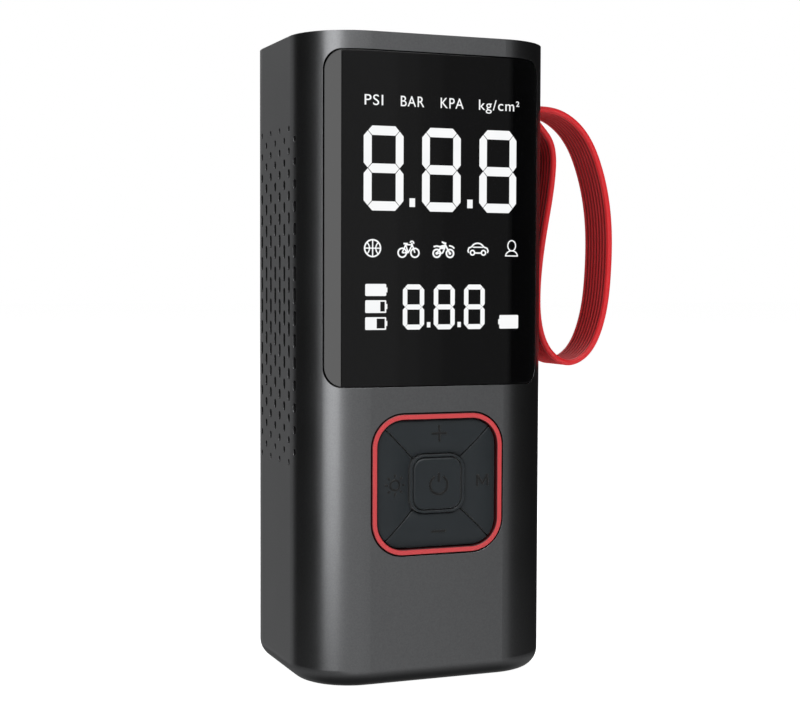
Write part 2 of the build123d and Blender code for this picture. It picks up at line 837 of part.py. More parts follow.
def compressor_frame():
    """Plate that carries the motor, the crank axle and the cylinder."""
    y0 = crank_y - fin_r - 1
    y1 = crank_y + fin_r + 1
    plate = block(motor_x - motor_r - 1, crank_x + 10, y0, y1, frame_z, frame_top)
    plate += frame_ear(min(ear_x0(), crank_x), y1)
    plate += mirror(frame_ear(0, y1), Plane.YZ)
    for sx in (-1, 1):
        plate -= post_z(screw_r + 0.2, sx * ear_x(), ear_y(), frame_z - 1, frame_top + 1)
    x0 = cylinder_open_x
    x1 = x0 + bracket_t
    bracket = block(x0, x1, y0, y1, frame_top - 0.1, cylinder_z + fin_r)
    bracket -= post_x(bore_r, crank_y, cylinder_z, x0 - 1, x1 + 1)
    bracket -= block(x0 - 1, x1 + 1, motor_y - 9.6, motor_y + 9.6, frame_top, gear_top + 0.8)
    plate += bracket
    plate -= post_z(bush_r + 0.1, motor_x, motor_y, frame_z - 1, frame_top + 1)
    plate -= post_z(axle_r + thread_gap, crank_x, crank_y, frame_z - 1, frame_top + 1)
    for side in (-1, 1):
        plate -= post_z(screw_r + thread_gap, motor_x, motor_y + side * 7.5, frame_z - 1, frame_top + 1)
    return plate


def frame_screws():
    """Four screws: two hold the frame to its shelves, two hold the motor."""
    screws = Part()
    places = [(sx * ear_x(), ear_y(), frame_z - 2.5) for sx in (-1, 1)]
    places += [(motor_x, motor_y + side * 7.5, frame_z - 0.08) for side in (-1, 1)]
    for x, y, z0 in places:
        screws += post_z(screw_r, x, y, z0, frame_top + 0.1)
        screws += post_z(1.8, x, y, frame_top + seat_gap, frame_top + 0.5)
    return screws


def crank_axle():
    axle = post_z(axle_r, crank_x, crank_y, frame_z - 1.2, gear_top + 3)
    return axle + post_z(axle_r + 1.2, crank_x, crank_y, frame_z - 1.2, frame_z - seat_gap)


def crank_bush():
    r = axle_r + shaft_gap + crank_bush_wall
    bush = post_z(r, crank_x, crank_y, gear_z, gear_top + 3)
    return bush - post_z(axle_r + shaft_gap, crank_x, crank_y, gear_z - 1, gear_top + 4)


def crank_gear():
    face = gear_face(gear_teeth, 0.75, 1.25, 0)
    gear = extrude(Pos(crank_x, crank_y, gear_z) * face, gear_t)
    hub_r = axle_r + shaft_gap + crank_bush_wall + thread_gap
    gear -= post_z(hub_r, crank_x, crank_y, gear_z - 1, gear_top + 1)
    for k in range(6):
        a = math.radians(60 * k + 30)
        gear -= post_z(2.0, crank_x + 11 * math.cos(a), crank_y + 11 * math.sin(a), gear_z - 1, gear_top + 1)
    return gear


def crank_web():
    """Counterweight: full thickness only on the side away from the crank pin."""
    z0 = gear_top + thread_gap
    web = post_z(web_r, crank_x, crank_y, z0, web_top)
    cut_x = crank_x - crank_throw - crank_pin_r - 1.5
    web -= block(crank_x - web_r - 1, cut_x, crank_y - web_r, crank_y + web_r, z0 - 1, web_top + 1)
    hub_r = axle_r + shaft_gap + crank_bush_wall + thread_gap
    web -= post_z(hub_r, crank_x, crank_y, z0 - 1, gear_top + 3.2)
    return web - post_z(crank_pin_r + thread_gap, crank_x - crank_throw, crank_y, gear_top + 4.2, web_top + 1)


def crank_pin():
    return post_z(crank_pin_r, crank_x - crank_throw, crank_y, gear_top + 4.3, cylinder_z + rod_t / 2 + 0.8)


def rod_z():
    return cylinder_z - rod_t / 2, cylinder_z + rod_t / 2


def con_rod():
    z0, z1 = rod_z()
    pin_x = crank_x - crank_throw
    rod = post_z(rod_big_r, pin_x, crank_y, z0, z1) + post_z(rod_small_r, wrist_x, crank_y, z0, z1)
    rod += block(wrist_x, pin_x, crank_y - rod_w / 2, crank_y + rod_w / 2, z0 + 0.8, z1 - 0.8)
    rod -= post_z(crank_pin_r + shaft_gap + rod_bush_wall + thread_gap, pin_x, crank_y, z0 - 1, z1 + 1)
    return rod - post_z(wrist_pin_r + thread_gap, wrist_x, crank_y, z0 - 1, z1 + 1)


def rod_bush():
    z0, z1 = rod_z()
    pin_x = crank_x - crank_throw
    bush = post_z(crank_pin_r + shaft_gap + rod_bush_wall, pin_x, crank_y, z0, z1)
    return bush - post_z(crank_pin_r + shaft_gap, pin_x, crank_y, z0 - 1, z1 + 1)


def wrist_pin():
    half = wrist_pin_length / 2
    return post_z(wrist_pin_r, wrist_x, crank_y, cylinder_z - half, cylinder_z + half)


def piston():
    """A hollow cup; its inside leaves room for the rod's end over a whole turn."""
    r = bore_r - piston_gap
    cup = post_x(r, crank_y, cylinder_z, piston_top_x, piston_top_x + skirt_length)
    cup -= post_x(r - skirt_wall, crank_y, cylinder_z, crown_inner_x, piston_top_x + skirt_length + 1)
    groove = post_x(r + 1, crank_y, cylinder_z, piston_top_x + 1.2, piston_top_x + 2.8)
    return cup - (groove - post_x(r - 0.7, crank_y, cylinder_z, piston_top_x, piston_top_x + 4))


def piston_seal():
    ring = post_x(bore_r - seat_gap, crank_y, cylinder_z, piston_top_x + 1.25, piston_top_x + 2.75)
    return ring - post_x(bore_r - piston_gap - 0.68, crank_y, cylinder_z, piston_top_x, piston_top_x + 4)


def cylinder():
    body = post_x(bore_r + cylinder_wall, crank_y, cylinder_z, cylinder_end_x, cylinder_open_x - seat_gap)
    pitch = (cylinder_length - fin_t) / (fin_count - 1)
    for k in range(fin_count):
        x = cylinder_end_x + k * pitch
        body += post_x(fin_r, crank_y, cylinder_z, x, min(x + fin_t, cylinder_open_x - seat_gap))
    return body - post_x(bore_r, crank_y, cylinder_z, cylinder_end_x - 1, cylinder_open_x + 1)


def valve_plate():
    x0 = cylinder_end_x - valve_t
    plate = post_x(fin_r - head_inset, crank_y, cylinder_z, x0, cylinder_end_x - seat_gap)
    for side in (-1, 1):
        plate -= post_x(1.2, crank_y + side * 4, cylinder_z, x0 - 1, cylinder_end_x + 1)
    return plate


def cylinder_head():
    x1 = cylinder_end_x - valve_t - seat_gap
    head = post_x(fin_r - head_inset, crank_y, cylinder_z, head_x, x1)
    head -= post_x(bore_r - 2, crank_y, cylinder_z, head_x + 1.6, x1 + 1)
    top = cylinder_z + fin_r - head_inset
    x = tube_x()
    head += post_z(tube_bore_r, x, crank_y, top - 2, tube_z0() + spout_l)
    return head - post_z(tube_bore_r - 0.6, x, crank_y, cylinder_z + bore_r - 3, top + spout_l + 1)


def head_screws():
    screws = Part()
    for k in range(4):
        a = math.radians(45 + 90 * k)
        r = (bore_r + fin_r) / 2 - 0.3
        y = crank_y + r * math.cos(a)
        screws += post_x(0.9, y, cylinder_z + r * math.sin(a), head_x - 0.7, head_x - seat_gap)
    return screws


def pressure_sensor():
    """A small block on the cylinder head's back side."""
    x1 = cylinder_end_x - valve_t - 0.3
    y0 = crank_y + fin_r - head_inset + seat_gap
    return block(head_x + 0.8, x1, y0, y0 + 2, cylinder_z - 3, cylinder_z + 3)


# ---- Top fittings ---------------------------------------------------------------------------------
def tube_x():
    return (head_x + cylinder_end_x - valve_t - seat_gap) / 2


def tube_z0():
    return cylinder_z + fin_r + 0.1


def tube_top_z():
    return tube_z0() + spout_l + 0.6 + tube_bend_r


def hose_port():
    top = height - 0.6
    port = post_z(port_flange_r, port_x, port_y, top - port_flange_t, top)
    port = chamfer(port.faces().sort_by(Axis.Z)[-1].edges(), 0.3)
    port += post_z(port_r, port_x, port_y, top - port_length, top - 0.5)
    port -= post_z(port_bore_r, port_x, port_y, top - port_bore_depth, top + 1)
    z = tube_top_z()
    port += post_x(tube_bore_r, port_y, z, port_x - port_r - 2.4, port_x - port_bore_r - 0.5)
    return port - post_x(tube_bore_r - 0.6, port_y, z, port_x - port_r - 4, port_x)


def port_nut():
    z1 = ledge_z - seat_gap
    hexagon = RegularPolygon(port_r + 1.6, 6, major_radius=False)
    nut = extrude(Pos(port_x, port_y, z1 - port_nut_t) * hexagon, port_nut_t)
    return nut - post_z(port_r + thread_gap, port_x, port_y, z1 - port_nut_t - 1, z1 + 1)


def air_tube():
    """Silicone elbow from the cylinder head's spout to the port's spout."""
    z1 = tube_top_z()
    start = (tube_x(), port_y, tube_z0())
    corner = (tube_x(), port_y, z1)
    path = FilletPolyline(start, corner, (port_x - port_r - 0.1, port_y, z1), radius=tube_bend_r)
    ring = Circle(tube_bore_r + tube_wall) - Circle(tube_bore_r + thread_gap)
    return sweep(Plane(start, z_dir=(0, 0, 1)) * ring, path=path)


def torch_lens():
    z1 = height - 0.3
    lens = post_z(torch_r, torch_x, port_y, z1 - torch_lens_t, z1)
    return chamfer(lens.faces().sort_by(Axis.Z)[-1].edges(), 0.3)


def torch_reflector():
    z1 = height - 0.3 - torch_lens_t - seat_gap
    z0 = z1 - reflector_h
    outer = Pos(torch_x, port_y, (z0 + z1) / 2) * Cone(3.6, torch_r - 0.1, reflector_h)
    inner = Pos(torch_x, port_y, (z0 + z1) / 2) * Cone(2.6, torch_r - 1.0, reflector_h + 0.1)
    return outer - inner


def torch_led_board():
    z1 = height - 0.3 - torch_lens_t - reflector_h - 0.05
    board = post_z(torch_r - 1.5, torch_x, port_y, z1 - led_board_t, z1)
    return board + block(torch_x - 1.2, torch_x + 1.2, port_y - 1.2, port_y + 1.2, z1 - 0.1, z1 + 0.8)


def usb_socket():
    z1 = height - 0.4
    body = extrude(Pos(0, usb_y, z1 - usb_depth) * RectangleRounded(usb_w, usb_h, 1.5), usb_depth)
    opening = RectangleRounded(usb_opening_w, usb_opening_h, 1.25)
    body -= extrude(Pos(0, usb_y, z1 - usb_depth + 1) * opening, usb_depth)
    return body + block(-3, 3, usb_y - 0.35, usb_y + 0.35, z1 - usb_depth + 0.9, z1 - 1.2)


def usb_board():
    z1 = height - 0.4 - 1.5
    y0 = usb_y + usb_h / 2 + seat_gap
    return block(-6, 6, y0, y0 + board_t, z1 - 12, z1 - cap_t)


# ---- Electronics ----------------------------------------------------------------------------------
def main_board():
    y0 = split_y + 1
    return block(-20, 20, y0, y0 + 1.6, motor_z0() - 3, cylinder_z + fin_r)


def board_capacitors():
    caps = Part()
    y = split_y + 1 - seat_gap - 3.15
    for z in (motor_z0() + 1, motor_z0() + 14):
        caps += post_z(3.15, crank_x + 3, y, z, z + 11)
    return caps


# ---- Write every sub-part -------------------------------------------------------------------------
shell_pair = closed_shell()
nodes = {
    "front_housing": front_housing(shell_pair),
    "rear_cover": rear_cover(shell_pair),
    "top_cap": top_cap(),
    "base_pad": base_pad(),
    "cover_screws": cover_screws(),
    "display_lens": display_lens(),
    "display_module": display_module(),
    "display_board": display_board(),
    "keypad_ring": keypad_ring(),
    "key_frame": key_frame(),
    "power_key": power_key(),
    "plus_key": outer_key(0),
    "mode_key": outer_key(90),
    "minus_key": outer_key(180),
    "light_key": outer_key(270),
    "key_mat": key_mat(),
    "key_switches": key_switches(),
    "button_board": button_board(),
    "hand_strap": hand_strap(),
    "strap_clamp": strap_clamp(),
    "strap_pin": strap_pin(),
    "battery_cells": battery_cells(),
    "cell_links": cell_links(),
    "battery_tray": battery_tray(),
    "motor_can": motor_can(),
    "motor_end_bell": motor_end_bell(),
    "motor_bushes": motor_bushes(),
    "motor_magnets": motor_magnets(),
    "armature": armature(),
    "commutator": commutator(),
    "motor_shaft": motor_shaft(),
    "pinion": pinion(),
    "cooling_fan": cooling_fan(),
    "compressor_frame": compressor_frame(),
    "frame_screws": frame_screws(),
    "crank_axle": crank_axle(),
    "crank_bush": crank_bush(),
    "crank_gear": crank_gear(),
    "crank_web": crank_web(),
    "crank_pin": crank_pin(),
    "con_rod": con_rod(),
    "rod_bush": rod_bush(),
    "wrist_pin": wrist_pin(),
    "piston": piston(),
    "piston_seal": piston_seal(),
    "cylinder": cylinder(),
    "valve_plate": valve_plate(),
    "cylinder_head": cylinder_head(),
    "head_screws": head_screws(),
    "pressure_sensor": pressure_sensor(),
    "hose_port": hose_port(),
    "port_nut": port_nut(),
    "air_tube": air_tube(),
    "torch_lens": torch_lens(),
    "torch_reflector": torch_reflector(),
    "torch_led_board": torch_led_board(),
    "usb_socket": usb_socket(),
    "usb_board": usb_board(),
    "main_board": main_board(),
    "board_capacitors": board_capacitors(),
}

os.makedirs("parts", exist_ok=True)
for name, shape in nodes.items():
    export_step(shape, os.path.join("parts", name + ".step"))
print(len(nodes), "sub-parts written")
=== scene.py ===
# %% [markdown]
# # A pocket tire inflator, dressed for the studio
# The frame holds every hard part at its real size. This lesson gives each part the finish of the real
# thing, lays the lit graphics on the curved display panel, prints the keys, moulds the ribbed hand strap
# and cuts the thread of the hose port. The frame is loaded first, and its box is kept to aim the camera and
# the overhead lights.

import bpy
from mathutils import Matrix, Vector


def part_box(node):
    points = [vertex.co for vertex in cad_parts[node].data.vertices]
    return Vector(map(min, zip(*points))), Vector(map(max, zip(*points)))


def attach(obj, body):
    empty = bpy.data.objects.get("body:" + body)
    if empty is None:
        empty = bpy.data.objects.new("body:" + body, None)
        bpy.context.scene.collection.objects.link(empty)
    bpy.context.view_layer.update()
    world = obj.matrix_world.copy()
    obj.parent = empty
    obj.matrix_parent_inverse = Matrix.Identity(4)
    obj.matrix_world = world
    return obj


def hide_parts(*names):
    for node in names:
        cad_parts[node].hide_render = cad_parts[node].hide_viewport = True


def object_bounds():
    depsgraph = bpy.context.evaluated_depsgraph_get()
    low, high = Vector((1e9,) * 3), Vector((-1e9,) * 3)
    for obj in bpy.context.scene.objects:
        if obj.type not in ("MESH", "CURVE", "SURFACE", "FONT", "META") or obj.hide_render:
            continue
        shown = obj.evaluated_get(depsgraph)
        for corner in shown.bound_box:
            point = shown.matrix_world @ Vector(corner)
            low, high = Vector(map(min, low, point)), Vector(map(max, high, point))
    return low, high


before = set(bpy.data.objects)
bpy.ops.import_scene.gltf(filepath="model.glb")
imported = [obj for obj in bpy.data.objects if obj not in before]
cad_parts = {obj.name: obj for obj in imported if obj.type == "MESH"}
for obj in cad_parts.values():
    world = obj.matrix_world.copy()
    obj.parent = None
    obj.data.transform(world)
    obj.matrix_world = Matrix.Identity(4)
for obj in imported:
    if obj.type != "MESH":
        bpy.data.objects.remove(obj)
cad_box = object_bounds()

# %% Tools and the unit
import math

import bmesh
import bpy
import numpy as np
from mathutils import Matrix, Vector

mm = 0.001


def box_mm(node):
    """The lowest and highest corner of a node, in millimetres."""
    low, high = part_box(node)
    return np.array(low) / mm, np.array(high) / mm


def coordinates(mesh):
    """Every vertex of a mesh as rows of X, Y, Z."""
    flat = np.empty(len(mesh.vertices) * 3)
    mesh.vertices.foreach_get("co", flat)
    return flat.reshape(-1, 3)


# %% [markdown]
# ## Measure the housing
# The housing is a tall box with rounded upright corners. Everything printed on its front follows that
# outline, so the flat's half width and the corner's radius are measured from the housing itself.

# %% The housing's outline
shell_low, shell_high = box_mm("front_housing")
shell_points = coordinates(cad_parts["front_housing"].data) / mm
on_the_front = shell_points[shell_points[:, 1] < shell_low[1] + 0.001]
flat_half = float(np.abs(on_the_front[:, 0]).max())
corner_r = float(shell_high[0]) - flat_half
corner_y = float(shell_low[1]) + corner_r
panel_low, panel_high = box_mm("display_lens")
print(f"flat half width {flat_half:.2f} mm, corner radius {corner_r:.2f} mm")


def on_front(u, z, lift):
    """Wraps a flat drawing round the front. u runs along the outline from its middle and z is the height.
    Up to the flat's half width, x is u. Past it the outline is an arc: the angle is the rest of u over the
    corner's radius, and lift moves the point outside the skin, along the arc's own radius."""
    flat = np.clip(u, -flat_half, flat_half)
    angle = (u - flat) / corner_r
    reach = corner_r + lift
    return np.stack([flat + reach * np.sin(angle), corner_y - reach * np.cos(angle), z + 0 * u], -1)


# %% [markdown]
# ## Surfaces from grids
# Most new pieces here are a ring of points carried along a path: a grid with one row per step of the path.
# Working the faces out from the grid's size keeps the mesh code to a few lines, and one function can
# then build a digit's segment, a wheel's rim and the strap alike.


# %% Faces of a grid
def tube_faces(rows, ring, closed):
    """Quads between neighbouring rows, the ring wrapping round on itself. A closed path also joins the last
    row to the first; an open one gets a face over each end."""
    steps = rows if closed else rows - 1
    i, j = np.meshgrid(np.arange(steps), np.arange(ring), indexing="ij")
    a = i * ring + j
    b = (i + 1) % rows * ring + j
    c = (i + 1) % rows * ring + (j + 1) % ring
    d = i * ring + (j + 1) % ring
    faces = np.stack([a, b, c, d], -1).reshape(-1, 4).tolist()
    if not closed:
        faces += [list(range(ring)), list(range((rows - 1) * ring, rows * ring))]
    return faces


def build_mesh(name, parts):
    """One mesh from several tubes, each a grid of points in millimetres and whether its path is closed."""
    verts, faces, start = [], [], 0
    for grid, closed in parts:
        rows, ring = grid.shape[:2]
        verts.append(grid.reshape(-1, 3) * mm)
        faces += [[start + v for v in face] for face in tube_faces(rows, ring, closed)]
        start += rows * ring
    mesh = bpy.data.meshes.new(name)
    mesh.from_pydata(np.concatenate(verts).tolist(), [], faces)
    work = bmesh.new()
    work.from_mesh(mesh)
    bmesh.ops.remove_doubles(work, verts=work.verts, dist=0.002 * mm)
    bmesh.ops.recalc_face_normals(work, faces=work.faces)
    work.to_mesh(mesh)
    work.free()
    return mesh


def add_piece(mesh, material, body, replaced=()):
    """Puts a finished mesh in the scene on its body, with its finish."""
    piece = bpy.data.objects.new(mesh.name, mesh)
    bpy.context.scene.collection.objects.link(piece)
    mesh.materials.clear()
    mesh.materials.append(material)
    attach(piece, body)
    if replaced:
        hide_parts(*replaced)
    print(f"{piece.name}: {len(mesh.polygons)} faces on {body}")
    return piece


# %% [markdown]
# ## How finishes are written
# Colours are given as hex values, as a paint chart gives them, and turned to linear light by one
# function. Pattern sizes are given in millimetres, and the object coordinates are metres, so a pattern
# of a given size needs a scale of one over that size in metres.


# %% Colour and node helpers
def linear(hex_colour):
    """An sRGB hex colour as linear RGBA: each channel is (c + 0.055) / 1.055 to the power 2.4, or c / 12.92
    in the darkest part."""
    srgb = [int(hex_colour[k : k + 2], 16) / 255 for k in (1, 3, 5)]
    return [c / 12.92 if c <= 0.04045 else ((c + 0.055) / 1.055) ** 2.4 for c in srgb] + [1.0]


def per_mm(size):
    """The texture scale that makes one repeat of a pattern this many millimetres long."""
    return 1 / (size * mm)


def add_node(tree, kind, inputs=None, **settings):
    """Adds a node of a kind, sets its own settings, and fills its sockets with values or links."""
    node = tree.nodes.new(kind)
    for name, value in settings.items():
        setattr(node, name, value)
    for socket, value in (inputs or {}).items():
        if isinstance(value, bpy.types.NodeSocket):
            tree.links.new(value, node.inputs[socket])
        else:
            node.inputs[socket].default_value = value
    return node


def start_material(name):
    """An empty material and the object coordinates that its patterns read."""
    material = bpy.data.materials.new(name)
    material.use_nodes = True
    tree = material.node_tree
    tree.nodes.clear()
    place = add_node(tree, "ShaderNodeTexCoord").outputs["Object"]
    return material, tree, place


# %% [markdown]
# ## One recipe for most finishes
# Moulded plastic, soft paint, silicone, bare metal and shrunk film are all ruled by noise: one pattern blends
# two near colours, the same one or a second moves the gloss, and one presses in a fine relief. Only the sizes
# and amounts differ, so one function makes them all, and each kind of finish says its own numbers.


# %% Surface ruled by noise
def surface(name, colours, noises, gloss, settings, relief=None, edge=None, stretch=(1.0, 1.0, 1.0)):
    """noises gives the size in millimetres and the detail of the tone, and of the gloss or the relief where
    they don't follow the tone. Colour and roughness go from their first to their second value with the noise.
    relief is its strength and its depth in millimetres, edge the radius that softens the frame's sharp edges
    and its samples, and stretch scales the pattern's axes. settings are the shader's own values."""
    material, tree, place = start_material(name)
    place = add_node(tree, "ShaderNodeMapping", {"Vector": place, "Scale": stretch}).outputs[0]
    made = {
        use: add_node(tree, "ShaderNodeTexNoise", {"Vector": place, "Scale": per_mm(size), "Detail": detail})
        for use, (size, detail) in noises.items()
    }
    tone, sheen, height = (made.get(use, made["tone"]).outputs["Fac"] for use in ("tone", "gloss", "relief"))
    normal = {}
    if edge:
        soft = add_node(tree, "ShaderNodeBevel", {"Radius": edge[0] * mm}, samples=edge[1])
        normal = {"Normal": soft.outputs[0]}
    if relief:
        bump = add_node(tree, "ShaderNodeBump", {
            "Height": height, "Strength": relief[0], "Distance": relief[1] * mm, **normal,
        })
        normal = {"Normal": bump.outputs[0]}
    colour = add_node(tree, "ShaderNodeMix", {
        "Factor": tone, "A": linear(colours[0]), "B": linear(colours[1]),
    }, data_type="RGBA")
    rough = add_node(tree, "ShaderNodeMapRange", {"Value": sheen, "To Min": gloss[0], "To Max": gloss[1]})
    shader = add_node(tree, "ShaderNodeBsdfPrincipled", {
        "Base Color": colour.outputs["Result"], "Roughness": rough.outputs[0], **normal, **settings,
    })
    add_node(tree, "ShaderNodeOutputMaterial", {"Surface": shader.outputs[0]})
    return material


# %% [markdown]
# ## Painted and moulded plastics
# The housing is moulded ABS sprayed with a charcoal metallic paint: tiny flakes lie nearly flat in it, so it
# mirrors softly, as a dull metal does. The caps and the inner frames are bare moulded plastic with the
# fine grain of an eroded mould. The paint is the one finish that changes with its place on the object: below
# its reach, in slots, holes and seams, it turns near black, the bare moulding with painted shade.


# %% How deep a point lies under the housing's skin
paint_reach = (0.05, 0.1)
base_band = (6, 8)
rim_band = (1.5, 2.5)


def bare_moulding_and_painted_shade(tree, place):
    """0 on the skin, 1 below the paint's reach, where the colour is bare moulding with painted shade. The
    outline
    is a rounded rectangle: move the point to the nearest corner's centre, take its distance and subtract the
    radius. The rounded base and the top rim are left out by their height."""
    centre = Vector((flat_half * mm, -corner_y * mm, 0))
    folded = add_node(tree, "ShaderNodeVectorMath", {0: place}, operation="ABSOLUTE").outputs[0]
    moved = add_node(tree, "ShaderNodeVectorMath", {0: folded, 1: centre}, operation="SUBTRACT").outputs[0]
    outside = add_node(tree, "ShaderNodeVectorMath", {0: moved, 1: (0, 0, 0)}, operation="MAXIMUM").outputs[0]
    flat = add_node(tree, "ShaderNodeVectorMath", {0: outside, 1: (1, 1, 0)}, operation="MULTIPLY").outputs[0]
    reach = add_node(tree, "ShaderNodeVectorMath", {0: flat}, operation="LENGTH").outputs["Value"]
    height = add_node(tree, "ShaderNodeSeparateXYZ", {0: place}).outputs["Z"]
    top = float(shell_high[2])
    limits = [
        (reach, corner_r - paint_reach[0], corner_r - paint_reach[1]),
        (height, base_band[0], base_band[1]),
        (height, top - rim_band[0], top - rim_band[1]),
    ]
    ramps = [
        add_node(tree, "ShaderNodeMapRange", {"Value": value, "From Min": start * mm, "From Max": end * mm})
        for value, start, end in limits
    ]
    deep, above, below = (ramp.outputs[0] for ramp in ramps)
    band = add_node(tree, "ShaderNodeMath", {0: above, 1: below}, operation="MULTIPLY").outputs[0]
    return add_node(tree, "ShaderNodeMath", {0: deep, 1: band}, operation="MULTIPLY").outputs[0]


# %% Charcoal metallic paint
def metallic_paint(name):
    """Sprayed metallic paint: flakes make it mirror softly in grey, the spray leaves a faint orange peel. It
    does not reach into slots and holes, whose walls are coloured near black: the dull moulding with painted
    shade."""
    material, tree, place = start_material(name)
    flake, cloud, peel = (
        add_node(tree, "ShaderNodeTexNoise", {"Vector": place, "Scale": per_mm(size), "Detail": detail})
        for size, detail in ((0.35, 2.0), (18, 2.0), (1.1, 1.0))
    )
    edge = add_node(tree, "ShaderNodeBevel", {"Radius": 0.1 * mm}, samples=6)
    bump = add_node(tree, "ShaderNodeBump", {
        "Height": peel.outputs["Fac"], "Strength": 0.12, "Distance": 0.01 * mm, "Normal": edge.outputs[0],
    })
    bare_and_shaded = bare_moulding_and_painted_shade(tree, place)
    paint = add_node(tree, "ShaderNodeMix", {
        "Factor": flake.outputs["Fac"], "A": linear("#8d8e90"), "B": linear("#a5a6a8"),
    }, data_type="RGBA")
    # near black below the paint's reach: the bare moulding, with painted shade for the slots, holes and seams
    colour = add_node(tree, "ShaderNodeMix", {
        "Factor": bare_and_shaded, "A": paint.outputs["Result"], "B": linear("#060607"),
    }, data_type="RGBA")
    sprayed = add_node(tree, "ShaderNodeMapRange", {
        "Value": cloud.outputs["Fac"], "To Min": 0.29, "To Max": 0.34,
    }).outputs[0]
    rough = add_node(tree, "ShaderNodeMix", {"Factor": bare_and_shaded, "A": sprayed, "B": 0.6}, data_type="FLOAT")
    metal = add_node(tree, "ShaderNodeMapRange", {"Value": bare_and_shaded, "To Min": 1.0, "To Max": 0.0})
    shader = add_node(tree, "ShaderNodeBsdfPrincipled", {
        "Base Color": colour.outputs["Result"],
        "Roughness": rough.outputs["Result"],
        "Metallic": metal.outputs[0],
        "Normal": bump.outputs[0],
    })
    add_node(tree, "ShaderNodeOutputMaterial", {"Surface": shader.outputs[0]})
    return material


# %% Moulded plastic with an eroded grain
def moulded_plastic(name, dark, light, gloss, grain_mm, depth_mm):
    """Injection moulded plastic: the eroded mould leaves a fine even grain that breaks up the gloss."""
    return surface(
        name, (dark, light), {"tone": (grain_mm, 3.0), "gloss": (9, 3.0)}, (gloss - 0.05, gloss + 0.05),
        {"IOR": 1.52}, relief=(0.5, depth_mm), edge=(0.15, 4),
    )


# %% The painted housing and the plain mouldings
housing_paint = metallic_paint("abs_sprayed_charcoal_metallic")
cap_abs = moulded_plastic("abs_moulded_fine_grain", "#1b1c1d", "#242527", 0.42, 0.45, 0.02)
inner_abs = moulded_plastic("abs_moulded_inner_frames", "#1a1b1c", "#232426", 0.55, 0.6, 0.03)
switch_resin = moulded_plastic("nylon_resin_switch_bodies", "#131314", "#1b1b1c", 0.4, 0.4, 0.015)
gear_nylon = moulded_plastic("nylon_moulded_gears", "#d9d6cb", "#e8e5dc", 0.38, 0.8, 0.02)
seal_ptfe = moulded_plastic("ptfe_filled_bronze_seal", "#6f5d46", "#84715a", 0.5, 0.3, 0.01)
magnet_ferrite = moulded_plastic("ferrite_pressed_and_sintered", "#2a2a2c", "#38383b", 0.6, 0.5, 0.04)
print("one painted and six moulded finishes")

# %% [markdown]
# ## Keys, pad and base: silicone and soft paint
# The keys have a soft-touch black coat, which looks deep and slightly blue with a dull sheen. The key mat,
# the base pad and the air tube are silicone or rubber: light enters a little way and handling leaves a bloom.


# %% Soft coat and silicone
def soft_coat(name, dark, light, gloss):
    """Soft-touch polyurethane paint: matte, with a faint sheen at grazing angles and almost no grain."""
    return surface(
        name, (dark, light), {"tone": (7, 4.0), "relief": (0.5, 2.0)}, (gloss - 0.04, gloss + 0.04),
        {"IOR": 1.5, "Sheen Weight": 0.15, "Sheen Roughness": 0.5}, relief=(0.25, 0.01), edge=(0.35, 6),
    )


def silicone(name, dark, light, gloss, depth_mm):
    """Moulded silicone: soft gloss, light that enters a little way, and a cloudy bloom from handling."""
    inside = {
        "IOR": 1.41, "Subsurface Weight": 0.12, "Subsurface Radius": (1.0, 0.25, 0.2),
        "Subsurface Scale": depth_mm * mm,
    }
    return surface(
        name, (dark, light), {"tone": (6, 4.0), "relief": (0.4, 2.0)}, (gloss - 0.05, gloss + 0.07),
        inside, relief=(0.3, 0.01),
    )


# %% Red trim
def red_trim_painted_edge_shade(name):
    """Moulded red plastic, satin on its flat front. Its rounded edges face the grooves and carry painted
    shade:
    the part of the normal that points to the front blends the colour from a deep red to a bright red."""
    material, tree, place = start_material(name)
    grain = add_node(tree, "ShaderNodeTexNoise", {"Vector": place, "Scale": per_mm(0.5), "Detail": 2.0})
    normal = add_node(tree, "ShaderNodeNewGeometry").outputs["Normal"]
    facing = add_node(tree, "ShaderNodeSeparateXYZ", {0: normal}).outputs["Y"]
    flat = add_node(tree, "ShaderNodeMapRange", {"Value": facing, "From Min": -0.8, "From Max": -0.98})
    # painted shade: the deep red stands for the shade on the rounded edges, the bright red for the lit front
    colour = add_node(tree, "ShaderNodeMix", {
        "Factor": flat.outputs["Result"], "A": linear("#3a0a0c"), "B": linear("#b83539"),
    }, data_type="RGBA")
    rough = add_node(tree, "ShaderNodeMapRange", {
        "Value": grain.outputs["Fac"], "To Min": 0.36, "To Max": 0.44,
    })
    shader = add_node(tree, "ShaderNodeBsdfPrincipled", {
        "Base Color": colour.outputs["Result"], "Roughness": rough.outputs[0], "IOR": 1.52,
    })
    add_node(tree, "ShaderNodeOutputMaterial", {"Surface": shader.outputs[0]})
    return material


# %% Keys, ring and pads
key_coat = soft_coat("soft_touch_coat_black_keys", "#12181c", "#181f23", 0.42)
trim_red = red_trim_painted_edge_shade("abs_moulded_red_trim")
mat_rubber = silicone("silicone_moulded_key_mat", "#3a3b3e", "#47484b", 0.5, 0.8)
base_rubber = silicone("rubber_moulded_base_pad", "#151516", "#1e1e1f", 0.65, 0.2)
tube_clear = silicone("silicone_extruded_milky_tube", "#b9bcbd", "#cfd2d3", 0.35, 2.0)
print("five soft finishes")

# %% [markdown]
# ## The display panel and what lights up on it
# The panel is smoked acrylic with a hard glossy coat, black until it is lit. The graphics behind it glow
# white through it, so they are shown as thin shapes that give their own light, with the same gloss as
# the panel over them.


